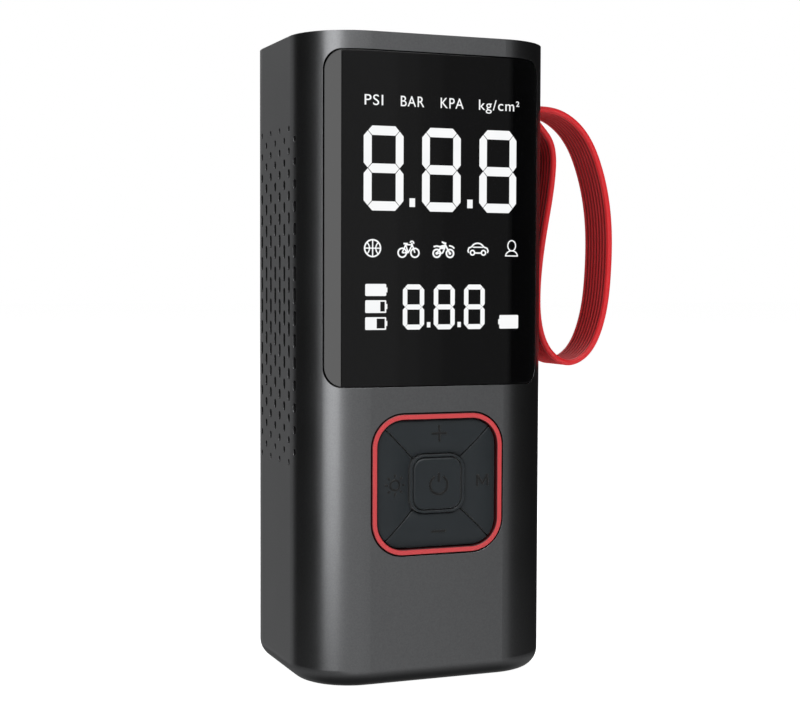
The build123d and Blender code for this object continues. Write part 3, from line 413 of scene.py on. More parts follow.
# %% Lit graphics
def lit_white(name):
    """Back-lit white: it gives its own light, a little uneven, as a diffuser over small lamps does."""
    material, tree, place = start_material(name)
    lamps = add_node(tree, "ShaderNodeTexNoise", {"Vector": place, "Scale": per_mm(4), "Detail": 1.0})
    glow = add_node(tree, "ShaderNodeMix", {
        "Factor": lamps.outputs["Fac"], "A": linear("#f6f8f9"), "B": linear("#ffffff"),
    }, data_type="RGBA")
    shader = add_node(tree, "ShaderNodeBsdfPrincipled", {
        "Base Color": linear("#0c0d0e"),
        "Roughness": 0.06,
        "IOR": 1.5,
        "Emission Color": glow.outputs["Result"],
        "Emission Strength": 0.97,
    })
    add_node(tree, "ShaderNodeOutputMaterial", {"Surface": shader.outputs[0]})
    return material


# %% Panel, lit graphics and printed marks
# Polished smoked acrylic is almost black and mirror smooth, and its hard coat doubles the reflection.
hard_coat = {"IOR": 1.5, "Coat Weight": 1.0, "Coat Roughness": 0.03, "Coat IOR": 1.5}
panel_acrylic = surface(
    "acrylic_polished_smoked", ("#020202", "#040405"), {"tone": (14, 3.0)}, (0.025, 0.05), hard_coat,
    edge=(0.25, 6),
)
graphic_white = lit_white("led_diffuser_lit_white")
mark_ink = soft_coat("pad_printed_black_ink", "#050606", "#080909", 0.35)
module_film = moulded_plastic("polycarbonate_printed_display_film", "#0b0c0d", "#131415", 0.35, 0.5, 0.01)
print("display finishes ready")

# %% [markdown]
# ## Metals
# Each metal keeps the shader's own index of refraction; what tells them apart is colour, how rough the
# cutting, rolling or casting left them, and the direction of its marks.


# %% Turned, rolled and cast metal
def worked_metal(name, dark, light, gloss, mark_mm, stretch, depth_mm):
    """Bare metal. The tool marks are a noise stretched along one axis: long for turning and rolling, even
    for casting. They change the gloss and press a fine relief into the surface."""
    return surface(
        name, (dark, light), {"tone": (mark_mm, 4.0)}, (gloss - 0.07, gloss + 0.07), {"Metallic": 1.0},
        relief=(0.4, depth_mm), edge=(0.12, 4), stretch=stretch,
    )


# %% The metals of this inflator
even = (1.0, 1.0, 1.0)
round_z = (1.0, 1.0, 14.0)
steel = worked_metal("steel_turned_zinc_plated", "#9a9c9f", "#bcbec1", 0.3, 1.2, round_z, 0.01)
motor_steel = worked_metal("steel_drawn_motor_can", "#8d9093", "#a9acaf", 0.34, 2.5, round_z, 0.01)
nickel = worked_metal("nickel_rolled_strip", "#a7a39b", "#c3c0b8", 0.25, 1.5, (14.0, 1.0, 1.0), 0.008)
brass = worked_metal("brass_turned", "#b08d4c", "#cfae6b", 0.24, 0.8, round_z, 0.012)
bronze = worked_metal("bronze_sintered_bush", "#7d5a35", "#9c7648", 0.48, 0.3, even, 0.03)
copper = worked_metal("copper_enamelled_winding", "#8f4526", "#c06a3c", 0.32, 0.5, (1.0, 1.0, 6.0), 0.05)
alloy = worked_metal("aluminium_die_cast", "#8b8d8f", "#a6a8aa", 0.5, 0.8, even, 0.05)
chrome = worked_metal("aluminium_evaporated_mirror", "#dfe2e4", "#eef0f1", 0.1, 3.0, even, 0.002)
print("eight metals")

# %% [markdown]
# ## Boards, cells and the clear torch window
# A circuit board is green lacquer over copper tracks, so its pattern is a brick of fine lines. Cells wear a
# shrunk plastic sleeve with faint tight wrinkles along the cell. The torch window is clear acrylic, and light
# must pass through it to the reflector.


# %% Circuit board
def circuit_board(name):
    """Glass-epoxy board: lacquered tracks stand a little above the ground and show lighter."""
    material, tree, place = start_material(name)
    turned = add_node(tree, "ShaderNodeMapping", {"Vector": place, "Rotation": (math.pi / 2, 0, 0)})
    tracks = add_node(tree, "ShaderNodeTexBrick", {
        "Vector": turned.outputs[0], "Scale": per_mm(1.0), "Mortar Size": 0.18,
        "Brick Width": 4.0, "Row Height": 1.1, "Color1": (0, 0, 0, 1), "Color2": (0, 0, 0, 1),
        "Mortar": (1, 1, 1, 1),
    }).outputs["Color"]
    bump = add_node(tree, "ShaderNodeBump", {"Height": tracks, "Strength": 0.5, "Distance": 0.035 * mm})
    colour = add_node(tree, "ShaderNodeMix", {
        "Factor": tracks, "A": linear("#0f3d24"), "B": linear("#2b6b3f"),
    }, data_type="RGBA")
    rough = add_node(tree, "ShaderNodeMapRange", {"Value": tracks, "To Min": 0.32, "To Max": 0.22})
    shader = add_node(tree, "ShaderNodeBsdfPrincipled", {
        "Base Color": colour.outputs["Result"], "Roughness": rough.outputs[0], "IOR": 1.55,
        "Normal": bump.outputs[0],
    })
    add_node(tree, "ShaderNodeOutputMaterial", {"Surface": shader.outputs[0]})
    return material


# %% Clear torch window
def clear_acrylic(name):
    """Moulded clear acrylic: light passes, and fine rings round the lamp's axis spread the beam."""
    material, tree, place = start_material(name)
    torch_low, torch_high = box_mm("torch_lens")
    centre = (torch_low + torch_high) / 2 * mm
    about = add_node(tree, "ShaderNodeMapping", {"Vector": place, "Location": tuple(-centre)})
    rings = add_node(
        tree, "ShaderNodeTexWave",
        {"Vector": about.outputs[0], "Scale": per_mm(1.1) / 20, "Distortion": 0.0},
        wave_type="RINGS", rings_direction="Z",
    ).outputs["Fac"]
    bump = add_node(tree, "ShaderNodeBump", {"Height": rings, "Strength": 0.35, "Distance": 0.2 * mm})
    rough = add_node(tree, "ShaderNodeMapRange", {"Value": rings, "To Min": 0.02, "To Max": 0.06})
    shader = add_node(tree, "ShaderNodeBsdfPrincipled", {
        "Base Color": linear("#f2f6f7"), "Roughness": rough.outputs[0], "IOR": 1.49,
        "Transmission Weight": 0.92, "Normal": bump.outputs[0],
    })
    add_node(tree, "ShaderNodeOutputMaterial", {"Surface": shader.outputs[0]})
    return material


board_green = circuit_board("glass_epoxy_lacquered_board")
cell_sleeve = surface(
    "pvc_shrunk_cell_sleeve", ("#1c4f86", "#2a66a6"), {"tone": (1.2, 3.0)}, (0.22, 0.34), {"IOR": 1.54},
    relief=(0.4, 0.05), stretch=(1.0, 1.0, 0.08),
)
torch_clear = clear_acrylic("acrylic_moulded_clear_window")
print("boards, sleeves and window ready")

# %% [markdown]
# ## Dress the frame's own nodes
# The record gives each node a slot for its finish, and the imported material carries that slot's name. One
# table turns slots into the finishes above, and only the material slots of the objects are changed.

# %% Every slot gets its finish
finishes = {
    "housing_plastic": housing_paint,
    "cap_plastic": cap_abs,
    "base_rubber": base_rubber,
    "lens_black": panel_acrylic,
    "display_white": module_film,
    "circuit_board": board_green,
    "trim_red": trim_red,
    "key_black": key_coat,
    "mat_silicone": mat_rubber,
    "switch_black": switch_resin,
    "strap_silicone": base_rubber,  # hidden later: the ribbed strap takes its place
    "inner_plastic": inner_abs,
    "cell_wrap": cell_sleeve,
    "nickel": nickel,
    "steel": steel,
    "motor_steel": motor_steel,
    "bronze": bronze,
    "magnet": magnet_ferrite,
    "copper": copper,
    "nylon": gear_nylon,
    "cast_alloy": alloy,
    "seal_ptfe": seal_ptfe,
    "port_brass": brass,
    "tube_silicone": tube_clear,
    "torch_clear": torch_clear,
    "reflector_chrome": chrome,
}
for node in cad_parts.values():
    for material_slot in node.material_slots:
        slot_name = material_slot.material.name.split(".")[0]
        material_slot.material = finishes[slot_name]
print(len(finishes), "finishes on", len(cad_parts), "nodes")

# %% [markdown]
# ## Flat shapes for the display
# Digits, letters and pictograms are flat drawings of bars, arcs and patches. Each is a small grid in the
# drawing's own two directions, which on_front then bends round the housing. Drawing first and bending last
# keeps the shapes simple, and fine steps keep them on the curve.

# %% Bars, arcs and patches
print_low = -0.04
print_high = 0.05
fine_step = 0.7


def steps_for(length):
    """How many points a line of this many millimetres needs to follow the corner's curve."""
    return max(2, int(math.ceil(length / fine_step)) + 1)


def bar(start, end, width, tip=0.0):
    """A straight bar. Its rows run from start to end, its columns across it. Where a tip is given, the half
    width grows in a straight line from nearly nothing at each end to its full size at the tip's length."""
    start, end = np.array(start, float), np.array(end, float)
    length = np.linalg.norm(end - start)
    along = (end - start) / length
    across = np.array([-along[1], along[0]])
    s = np.linspace(tip, length - tip, steps_for(length))
    if tip:
        s = np.concatenate([[0], s, [length]])
    half = width / 2 * np.clip(np.minimum(s, length - s) / max(tip, 1e-9), 0.04 if tip else 1, 1)
    v = np.linspace(-1, 1, steps_for(width))
    return start + s[:, None, None] * along + (half[:, None] * v)[:, :, None] * across


def stroke(path, width):
    """A line of some width along any path: each point is moved both ways along the path's own normal."""
    path = np.array(path, float)
    along = np.gradient(path, axis=0)
    along /= np.linalg.norm(along, axis=1, keepdims=True)
    across = np.stack([-along[:, 1], along[:, 0]], -1)
    v = np.linspace(-1, 1, 3)
    return path[:, None] + v[None, :, None] * across[:, None] * width / 2


def arc(centre, radius, start, end, squash=1.0):
    """Points on an arc: the angle runs from start to end in degrees, squash scales its height."""
    turn = np.radians(np.linspace(start, end, 33))
    return np.stack([centre[0] + radius * np.cos(turn), centre[1] + squash * radius * np.sin(turn)], -1)


def patch(low, high):
    """A filled rectangle from its low corner to its high corner."""
    middle = (low[1] + high[1]) / 2
    return bar((low[0], middle), (high[0], middle), high[1] - low[1])


def disc(centre, radius, squash=1.0):
    """A filled circle: the half height at each x is what the circle leaves there."""
    x = -np.cos(np.linspace(0.06, math.pi - 0.06, 17))
    half = np.sqrt(1 - x * x) * squash
    v = np.linspace(-1, 1, 3)
    flat = np.stack([x[:, None] + 0 * v, half[:, None] * v], -1)
    return np.array(centre) + radius * flat


def filled_outline(lower, upper):
    """A filled shape between a lower and an upper line with the same number of points."""
    v = np.linspace(0, 1, 3)[None, :, None]
    lower, upper = np.array(lower, float)[:, None], np.array(upper, float)[:, None]
    return lower + (upper - lower) * v


# %% Thin shapes on the front
def thin_solid(flat, place):
    """Gives a flat grid its thickness: the outer face, then the inner face backwards, is each row's ring."""
    outer = place(flat[..., 0], flat[..., 1], print_high)
    inner = place(flat[..., 0], flat[..., 1], print_low)
    return np.concatenate([outer, inner[:, ::-1]], axis=1), False


def front_piece(name, shapes, material=graphic_white):
    """One thin piece on the housing's front made of several flat shapes."""
    return add_piece(build_mesh(name, [thin_solid(s, on_front) for s in shapes]), material, "housing")


# %% [markdown]
# ## Seven segment digits
# Each digit is seven bars with pointed ends whose points meet at the digit's six corners. A thin gap between
# the bars shows that each is a lamp of its own. The upper row is large, the lower row about half its size.


# %% Digits from pointed bars
def digit(left, low, wide, tall, thick_across, thick_up, gap):
    """The seven bars of an 8: three level and four upright, each shortened by the gap at both ends."""
    x0, x1 = left + thick_up / 2, left + wide - thick_up / 2
    levels = [low + thick_across / 2, low + tall / 2, low + tall - thick_across / 2]
    bars = [bar((x0 + gap, z), (x1 - gap, z), thick_across, thick_up / 2) for z in levels]
    for x in (x0, x1):
        for z0, z1 in zip(levels[:-1], levels[1:]):
            bars.append(bar((x, z0 + gap), (x, z1 - gap), thick_up, thick_across / 2))
    return bars


def point_mark(left, low, wide, tall):
    """The decimal point: a small block."""
    return patch((left, low), (left + wide, low + tall))


screen = float(panel_low[2])
large = []
for left in (-19.2, -4.45, 10.45):
    large += digit(left, screen + 41.5, 9.97, 19.85, 2.2, 1.95, 0.14)
for left in (-7.65, 7.3):
    large.append(point_mark(left, screen + 42.5, 1.4, 2.05))
front_piece("pressure_digits", large)

small = []
for left in (-9.25, -1.3, 6.6):
    small += digit(left, screen + 13.4, 5.45, 10.75, 1.2, 1.12, 0.06)
for left in (-3.05, 4.9):
    small.append(point_mark(left, screen + 13.9, 0.87, 1.25))
front_piece("preset_digits", small)

# %% [markdown]
# ## Unit names
# The four unit names are set in the plain built-in typeface, turned into a mesh while still flat, scaled to
# their size, and only then bent round the front.


# %% Lettering
def sliced(mesh, axis, places):
    """Cuts a mesh into strips across one axis, so that wide flat faces can follow a curve afterwards."""
    work = bmesh.new()
    work.from_mesh(mesh)
    normal = Vector((1, 0, 0)) if axis == 0 else Vector((0, 1, 0))
    for place in places:
        whole = work.verts[:] + work.edges[:] + work.faces[:]
        bmesh.ops.bisect_plane(work, geom=whole, plane_co=normal * place, plane_no=normal)
    work.to_mesh(mesh)
    work.free()


def lettering(text, left, base, wide, tall, place):
    """Text fitted to a width in millimetres: turned into a mesh while flat, cut into fine strips, and only
    then bent onto a surface. The extruded depth becomes the low and high side of the print."""
    curve = bpy.data.curves.new("lettering", "FONT")
    curve.body = text
    curve.extrude = 0.5
    curve.space_character = 1.12
    curve.resolution_u = 6
    holder = bpy.data.objects.new("lettering", curve)
    mesh = bpy.data.meshes.new_from_object(holder)
    bpy.data.objects.remove(holder)
    flat = coordinates(mesh)
    low, high = flat.min(0), flat.max(0)
    sliced(mesh, 0, np.arange(low[0], high[0], fine_step / wide * (high[0] - low[0])))
    sliced(mesh, 1, np.arange(low[1], high[1], fine_step / tall))
    flat = coordinates(mesh)
    x = left + (flat[:, 0] - low[0]) / (high[0] - low[0]) * wide
    z = base + flat[:, 1] * tall
    lift = np.where(flat[:, 2] > 0, print_high, print_low)
    mesh.vertices.foreach_set("co", (place(x, z, lift) * mm).ravel())
    return mesh


def joined(name, meshes):
    """Several meshes as one, with doubles merged and faces outward."""
    work = bmesh.new()
    for mesh in meshes:
        work.from_mesh(mesh)
    bmesh.ops.remove_doubles(work, verts=work.verts, dist=0.002 * mm)
    bmesh.ops.recalc_face_normals(work, faces=work.faces)
    whole = bpy.data.meshes.new(name)
    work.to_mesh(whole)
    work.free()
    return whole


capital = 2.6 / 0.73
label_base = screen + 66.15
labels = [
    lettering("PSI", -19.0, label_base, 4.6, capital, on_front),
    lettering("BAR", -9.95, label_base, 5.95, capital, on_front),
    lettering("KPA", 0.25, label_base, 5.95, capital, on_front),
    lettering("kg/cm²", 10.25, label_base, 11.0, capital, on_front),
]
names = joined("unit_names", labels)
add_piece(names, graphic_white, "housing")

# %% [markdown]
# ## Pictograms
# The row in the middle says what is being pumped up: a ball, a bicycle, a motorcycle, a car and a setting of
# one's own. They are line drawings, so each is a handful of strokes and arcs of one pen width.

# %% The five pictograms
pen = 0.36
row = screen + 32.65


def ball(x, z):
    """A basketball: a ring, a cross and two curved seams."""
    shapes = [stroke(arc((x, z), 1.98, 0, 360), pen)]
    shapes += [bar((x - 1.9, z), (x + 1.9, z), pen * 0.8), bar((x, z - 1.9), (x, z + 1.9), pen * 0.8)]
    shapes += [stroke(arc((x - 2.55, z), 1.75, -46, 46), pen * 0.8)]
    shapes += [stroke(arc((x + 2.55, z), 1.75, 134, 226), pen * 0.8)]
    return shapes


def bicycle(x, z):
    """A bicycle: two wheels, a diamond frame, a saddle and a bent handlebar."""
    wheels = [(x - 1.62, z - 0.95), (x + 1.62, z - 0.95)]
    shapes = [stroke(arc(w, 1.05, 0, 360), pen * 1.05) for w in wheels]
    crank, seat, head = (x - 0.1, z - 0.95), (x - 0.75, z + 0.95), (x + 0.95, z + 0.95)
    for start, end in ((wheels[0], seat), (wheels[0], crank), (crank, seat), (crank, head), (seat, head)):
        shapes.append(bar(start, end, pen * 0.9))
    shapes.append(bar(wheels[1], (x + 0.75, z + 1.45), pen * 0.9))
    shapes.append(bar((x - 1.3, z + 1.2), (x - 0.2, z + 1.2), pen * 1.1))
    shapes.append(stroke(arc((x + 0.85, z + 1.35), 0.45, -20, 170), pen * 0.9))
    return shapes


def motorcycle(x, z):
    """A motorcycle: two fat tyres with hubs, a fork, a tank, a seat and mudguards."""
    wheels = [(x - 1.72, z - 1.02), (x + 1.72, z - 1.02)]
    shapes = [stroke(arc(w, 0.93, 0, 360), pen * 1.15) for w in wheels]
    shapes += [disc(w, 0.34) for w in wheels]
    shapes.append(bar(wheels[1], (x + 0.35, z + 1.2), pen * 1.15))
    shapes.append(bar((x - 0.15, z + 1.6), (x + 0.75, z + 1.35), pen))
    shapes.append(bar((x + 0.3, z + 1.3), (x - 0.4, z + 1.75), pen))
    shapes.append(filled_outline(
        [(x - 0.95, z + 0.15), (x - 0.2, z - 0.05), (x + 0.55, z + 0.35)],
        [(x - 0.85, z + 0.8), (x - 0.15, z + 1.0), (x + 0.5, z + 1.05)],
    ))
    shapes.append(stroke([(x - 2.55, z + 0.55), (x - 1.75, z + 0.72), (x - 0.9, z + 0.55)], pen * 1.1))
    shapes.append(stroke(arc((x + 1.6, z - 0.7), 1.5, 35, 95), pen))
    shapes.append(bar(wheels[0], (x - 0.2, z - 0.95), pen))
    shapes.append(bar((x - 0.2, z - 0.95), (x + 0.35, z + 0.3), pen))
    shapes.append(bar(wheels[0], (x - 0.7, z + 0.3), pen))
    return shapes


def car(x, z):
    """A small car seen from the side: a domed roof over a body line and two wheels."""
    roof = arc((x - 0.1, z - 0.1), 1.75, 24, 156, 0.92)
    front = [(x + 1.5, z + 0.62), (x + 2.4, z + 0.3), (x + 2.68, z - 0.35), (x + 2.45, z - 0.8)]
    back = [(x - 1.7, z + 0.62), (x - 2.4, z + 0.35), (x - 2.66, z - 0.35), (x - 2.45, z - 0.8)]
    shapes = [stroke(roof, pen), stroke(front, pen), stroke(back, pen)]
    shapes.append(bar((x - 0.75, z - 0.85), (x + 0.75, z - 0.85), pen))
    shapes.append(bar((x - 1.35, z + 0.55), (x + 1.25, z + 0.55), pen * 0.8))
    shapes += [stroke(arc((x + side, z - 0.78), 0.55, 0, 360), pen) for side in (-1.45, 1.45)]
    return shapes


def person(x, z):
    """Head and shoulders in outline."""
    line = pen * 0.8
    shapes = [stroke(arc((x, z + 0.85), 1.12, 0, 360, 1.12), line)]
    shapes.append(stroke(arc((x, z - 1.75), 1.72, 8, 172, 0.8), line))
    shapes.append(bar((x - 1.85, z - 1.62), (x + 1.85, z - 1.62), line))
    return shapes


front_piece("ball_pictogram", ball(-16.95, row))
front_piece("bicycle_pictogram", bicycle(-7.85, row - 0.05))
front_piece("motorcycle_pictogram", motorcycle(1.12, row - 0.05))
front_piece("car_pictogram", car(10.2, row - 0.05))
front_piece("person_pictogram", person(19.27, row + 0.1))

# %% [markdown]
# ## Battery signs
# Three cells stacked at the left fill up as the battery charges, and one lying the other way marks
# charging. Each is a body with rounded corners and a small nub, and an unfilled part is left open.


# %% Battery shapes
def round_block(low, high, radius):
    """A filled rectangle with round corners: the half height follows the corner's arc near both ends."""
    wide, tall = high[0] - low[0], high[1] - low[1]
    turn = np.linspace(0, math.pi / 2, 7)
    lead = radius * (1 - np.cos(turn))
    s = np.concatenate([lead, wide - lead[::-1]])
    trim = radius * (1 - np.sin(turn))
    half = tall / 2 - np.concatenate([trim, trim[::-1]])
    s = np.concatenate([s[:7], np.linspace(s[6], s[7], 7)[1:-1], s[7:]])
    half = np.concatenate([half[:7], np.full(5, tall / 2), half[7:]])
    v = np.linspace(-1, 1, 5)
    middle = (low[1] + high[1]) / 2
    return np.stack([low[0] + s[:, None] + 0 * v, middle + half[:, None] * v], -1)


def battery(left, low, wide, tall, empty):
    """A battery: the filled block, the thin frame round what is empty, and the nub."""
    wall_line = 0.34
    full = wide - empty
    shapes = [round_block((left, low), (left + full, low + tall), 0.3)]
    if empty:
        right = left + wide
        shapes.append(patch((left + full - 0.3, low), (right - 0.1, low + wall_line)))
        shapes.append(patch((left + full - 0.3, low + tall - wall_line), (right - 0.1, low + tall)))
        shapes.append(round_block((right - wall_line, low + 0.05), (right, low + tall - 0.05), 0.12))
    nub = left + wide
    shapes.append(patch((nub - 0.05, low + tall * 0.3), (nub + 0.27, low + tall * 0.7)))
    return shapes


signs = battery(-18.75, screen + 21.4, 5.25, 2.85, 0)
signs += battery(-18.75, screen + 17.4, 5.25, 3.0, 1.5)
signs += battery(-18.75, screen + 13.4, 5.25, 3.0, 2.4)
front_piece("battery_signs", signs)

charge = [round_block((16.0, screen + 13.45), (21.35, screen + 16.75), 0.3)]
charge.append(patch((15.7, screen + 14.5), (16.05, screen + 15.75)))
front_piece("charging_sign", charge)

# %% [markdown]
# ## Marks on the keys
# The keys carry a plus, a minus, a sun for the torch, an M for the mode and the power sign, printed in
# black on black so that they show only by their gloss. The four outer keys are crowned, so the print follows
# the crown: a circle's arc across each key, highest half way between the key's inner and outer edge.

# %% The crowned faces of the keys
pad_low, pad_high = box_mm("keypad_ring")
power_low, power_high = box_mm("power_key")
plus_low, plus_high = box_mm("plus_key")
pad_z = float(pad_low[2] + pad_high[2]) / 2
key_front = float(plus_low[1])
crown_r = 13.0
rim_reach = 1.08
key_inner = float(power_high[0]) + rim_reach
key_outer = float(plus_high[2]) - pad_z
key_crest = (key_inner + key_outer) / 2
print(f"keys crowned {crown_r} mm, highest {key_crest:.2f} mm from the middle")


def on_upright_key(x, z, lift):
    """The upper and lower key: the depth grows as the circle falls away above and below the crest."""
    off = np.abs(z - pad_z) - key_crest
    depth = crown_r - np.sqrt(crown_r**2 - off**2)
    return np.stack([x, key_front + depth - lift, z + 0 * x], -1)


def on_level_key(x, z, lift):
    """The left and right key: the same crown, measured across instead of up."""
    off = np.abs(x) - key_crest
    depth = crown_r - np.sqrt(crown_r**2 - off**2)
    return np.stack([x, key_front + depth - lift, z + 0 * x], -1)


def on_power_key(x, z, lift):
    """The middle key is flat."""
    return np.stack([x, float(power_low[1]) - lift + 0 * x, z + 0 * x], -1)


# %% The five marks
def key_mark(name, shapes, place, body):
    """A thin printed mark that moves with its key."""
    parts = [thin_solid(shape + np.array([0, pad_z]), place) for shape in shapes]
    return add_piece(build_mesh(name, parts), mark_ink, body)


sun = [stroke(arc((-10.95, 0), 1.2, 0, 360), 0.5)]
for turn in np.radians(np.arange(0, 360, 45)):
    ray = np.array([math.cos(turn), math.sin(turn)])
    sun.append(bar(ray * 1.85 + (-10.95, 0), ray * 2.6 + (-10.95, 0), 0.5))
power = [stroke(arc((0.3, -0.35), 2.25, 118, 422), 0.6), bar((0.3, 0.4), (0.3, 2.6), 0.6)]
plus = [bar((-1.5, 12.1), (2.5, 12.1), 0.6), bar((0.5, 10.1), (0.5, 14.1), 0.6)]
mode = [bar((x, -1.2), (x, 1.8), 0.6) for x in (10.5, 13.3)]
mode += [bar((x, 1.75), (11.9, -0.6), 0.6) for x in (10.6, 13.2)]
key_mark("plus_mark", plus, on_upright_key, "plus_button")
key_mark("minus_mark", [bar((-1.5, -11.6), (2.3, -11.6), 0.6)], on_upright_key, "minus_button")
key_mark("torch_mark", sun, on_level_key, "light_button")
key_mark("power_mark", power, on_power_key, "power_button")
key_mark("mode_mark", mode, on_level_key, "mode_button")

# %% [markdown]
# ## The hand strap
# The strap is a flat band of moulded silicone. Both tails go into the slot at the side, one over the
# other, and the rest hangs in a long loop. Its rims are smooth and as thick as the band; between them run
# six fine ribs on both faces. It is a profile carried along a smooth line through listed points.

# %% The strap's line
strap_low, strap_high = box_mm("hand_strap")
loop_width = float(strap_high[1] - strap_low[1])
side = float(shell_high[0])
clamp_low, clamp_high = box_mm("strap_clamp")
slot_z = float(clamp_low[2] + clamp_high[2]) / 2
band = 1.55
tail_rise = (band + 0.1) / 2
loop = [
    (9.1, 0.4), (16.4, -3.9), (21.7, -13.1), (24.8, -27.2), (24.9, -41.2), (22.3, -56.3), (17.8, -63.2),
    (13.1, -64.9), (8.4, -62.6), (5.0, -56.0), (4.2, -47.6), (6.2, -29.4), (8.3, -15.8), (7.3, -7.1),
    (4.2, -3.3),
]
tail_x = float(strap_low[0])
print("strap", loop_width, "mm wide, slot at", slot_z)


# %% Red silicone of the strap
rim = 1.15
ribs = 6
pitch = (loop_width - 2 * rim) / (ribs + 1)


def ribbed_silicone_painted_groove_shade(name):
    """Moulded red silicone with painted shade in the grooves: the thin web between the ribs is a deeper red
    than the ribs and the smooth rims. Bands across the strap repeat with the ribs, and the distance from its
    middle marks the rims."""
    material, tree, place = start_material(name)
    across = add_node(tree, "ShaderNodeSeparateXYZ", {0: place}).outputs["Y"]
    off = add_node(tree, "ShaderNodeMath", {0: across}, operation="ABSOLUTE").outputs[0]
    bands = add_node(
        tree, "ShaderNodeTexWave", {"Vector": place, "Scale": math.pi / 10 / (pitch * mm)},
        wave_type="BANDS", bands_direction="Y",
    )
    raised = add_node(tree, "ShaderNodeMapRange", {
        "Value": bands.outputs["Fac"], "From Min": 0.55, "From Max": 1.0, "To Max": 0.75,
    })
    at_rim = add_node(tree, "ShaderNodeMapRange", {
        "Value": off, "From Min": (loop_width / 2 - rim - 0.3) * mm, "From Max": (loop_width / 2 - rim) * mm,
    })
    height = add_node(
        tree, "ShaderNodeMath", {0: raised.outputs[0], 1: at_rim.outputs[0]}, operation="MAXIMUM"
    )
    # painted shade: the deep red is the shade in the web between the ribs, lighter red on the ribs and the
    # rims
    colour = add_node(tree, "ShaderNodeMix", {
        "Factor": height.outputs[0], "A": linear("#7c0d12"), "B": linear("#c92228"),
    }, data_type="RGBA")
    bloom = add_node(tree, "ShaderNodeTexNoise", {"Vector": place, "Scale": per_mm(6), "Detail": 4.0})
    rough = add_node(tree, "ShaderNodeMapRange", {
        "Value": bloom.outputs["Fac"], "To Min": 0.34, "To Max": 0.46,
    })
    shader = add_node(tree, "ShaderNodeBsdfPrincipled", {
        "Base Color": colour.outputs["Result"],
        "Roughness": rough.outputs[0],
        "IOR": 1.41,
        "Subsurface Weight": 0.08,
        "Subsurface Radius": (1.0, 0.25, 0.2),
        "Subsurface Scale": 0.8 * mm,
    })
    add_node(tree, "ShaderNodeOutputMaterial", {"Surface": shader.outputs[0]})
    return material


strap_red = ribbed_silicone_painted_groove_shade("silicone_moulded_red_strap_painted_groove_shade")
print("ribs every", round(pitch, 2), "mm")


# %% A smooth line through points
def smooth_line(knots, count):
    """A natural way through the knots: a cubic between each two, whose slopes at the knots solve one set of
    linear equations so that the bend is continuous. The ends leave level, into and out of the slot."""
    knots = np.array(knots, float)
    gaps = np.linalg.norm(np.diff(knots, axis=0), axis=1)
    at = np.concatenate([[0], np.cumsum(gaps)])
    size = len(knots)
    matrix = np.zeros((size, size))
    wanted = np.zeros((size, 2))
    matrix[0, 0] = matrix[-1, -1] = 1
    wanted[0], wanted[-1] = (1, 0), (-1, 0)
    inner = np.arange(1, size - 1)
    before, after = gaps[:-1], gaps[1:]
    matrix[inner, inner - 1] = after
    matrix[inner, inner] = 2 * (before + after)
    matrix[inner, inner + 1] = before
    rise = np.diff(knots, axis=0) / gaps[:, None]
    wanted[1:-1] = 3 * (after[:, None] * rise[:-1] + before[:, None] * rise[1:])
    slope = np.linalg.solve(matrix, wanted)
    t = np.linspace(0, at[-1], count)
    k = np.clip(np.searchsorted(at, t, side="right") - 1, 0, size - 2)
    h = gaps[k][:, None]
    q = (t - at[k])[:, None] / h
    return (
        (1 + 2 * q) * (1 - q) ** 2 * knots[k]
        + q * (1 - q) ** 2 * h * slope[k]
        + q * q * (3 - 2 * q) * knots[k + 1]
        + q * q * (q - 1) * h * slope[k + 1]
    )


# %% The strap's profile
def strap_profile(width, thick):
    """One turn round the band's section as distance across the band and height over its middle. The rim is a
    half round at each edge. Between the rims the web is thinner, and each rib is a smooth hump on it."""
    half, edge = width / 2, thick / 2
    web = thick / 2 - 0.32
    w = np.linspace(-half + edge, half - edge, 20 * (ribs + 1) + 1)
    inside = half - rim - np.abs(w)
    blend = np.clip(inside / 0.3, 0, 1)
    blend = blend * blend * (3 - 2 * blend)
    hump = np.clip(np.cos((w / pitch + (ribs + 1) / 2) * 2 * math.pi) * 1.6 - 0.6, 0, 1)
    hump *= np.abs(w) < half - rim - pitch * 0.5
    face = edge - blend * (edge - web) + hump * 0.3
    turn = np.linspace(math.pi / 2, -math.pi / 2, 11)[1:-1]
    right = np.stack([half - edge + edge * np.cos(turn), edge * np.sin(turn)], -1)
    top = np.stack([w, face], -1)
    return np.concatenate([top, right, top[::-1] * [1, -1], right[::-1] * [-1, 1]])


def strap_grid():
    """The profile carried along the line: its height goes along the line's normal, its width along Y."""
    knots = [(side + 0.7, slot_z + tail_rise)]
    knots += [(side + x, slot_z + z) for x, z in loop]
    knots += [(side + 0.7, slot_z - tail_rise)]
    line = smooth_line(knots, 260)
    inside = np.array([[tail_x, slot_z + tail_rise], [(side + tail_x) / 2, slot_z + tail_rise]])
    outside = inside[::-1] * [1, 0] + [0, slot_z - tail_rise]
    line = np.concatenate([inside, line, outside])
    along = np.gradient(line, axis=0)
    along /= np.linalg.norm(along, axis=1, keepdims=True)
    normal = np.stack([-along[:, 1], along[:, 0]], -1)
    section = strap_profile(loop_width, band)
    x = line[:, None, 0] + section[None, :, 1] * normal[:, None, 0]
    z = line[:, None, 1] + section[None, :, 1] * normal[:, None, 1]
    return np.stack([x, 0 * x + section[None, :, 0], z], -1)


strap_mesh = build_mesh("hand_strap_band", [(strap_grid(), False)])
strap_mesh.shade_smooth()
add_piece(strap_mesh, strap_red, "housing", ["hand_strap"])

# %% [markdown]
# ## The hose port's thread
# The hose screws into the brass port on the top. The thread is a ridge that climbs the bore's wall: a small
# triangle carried along a helix. The bore itself is the frame's, and the ridge stands on its wall.


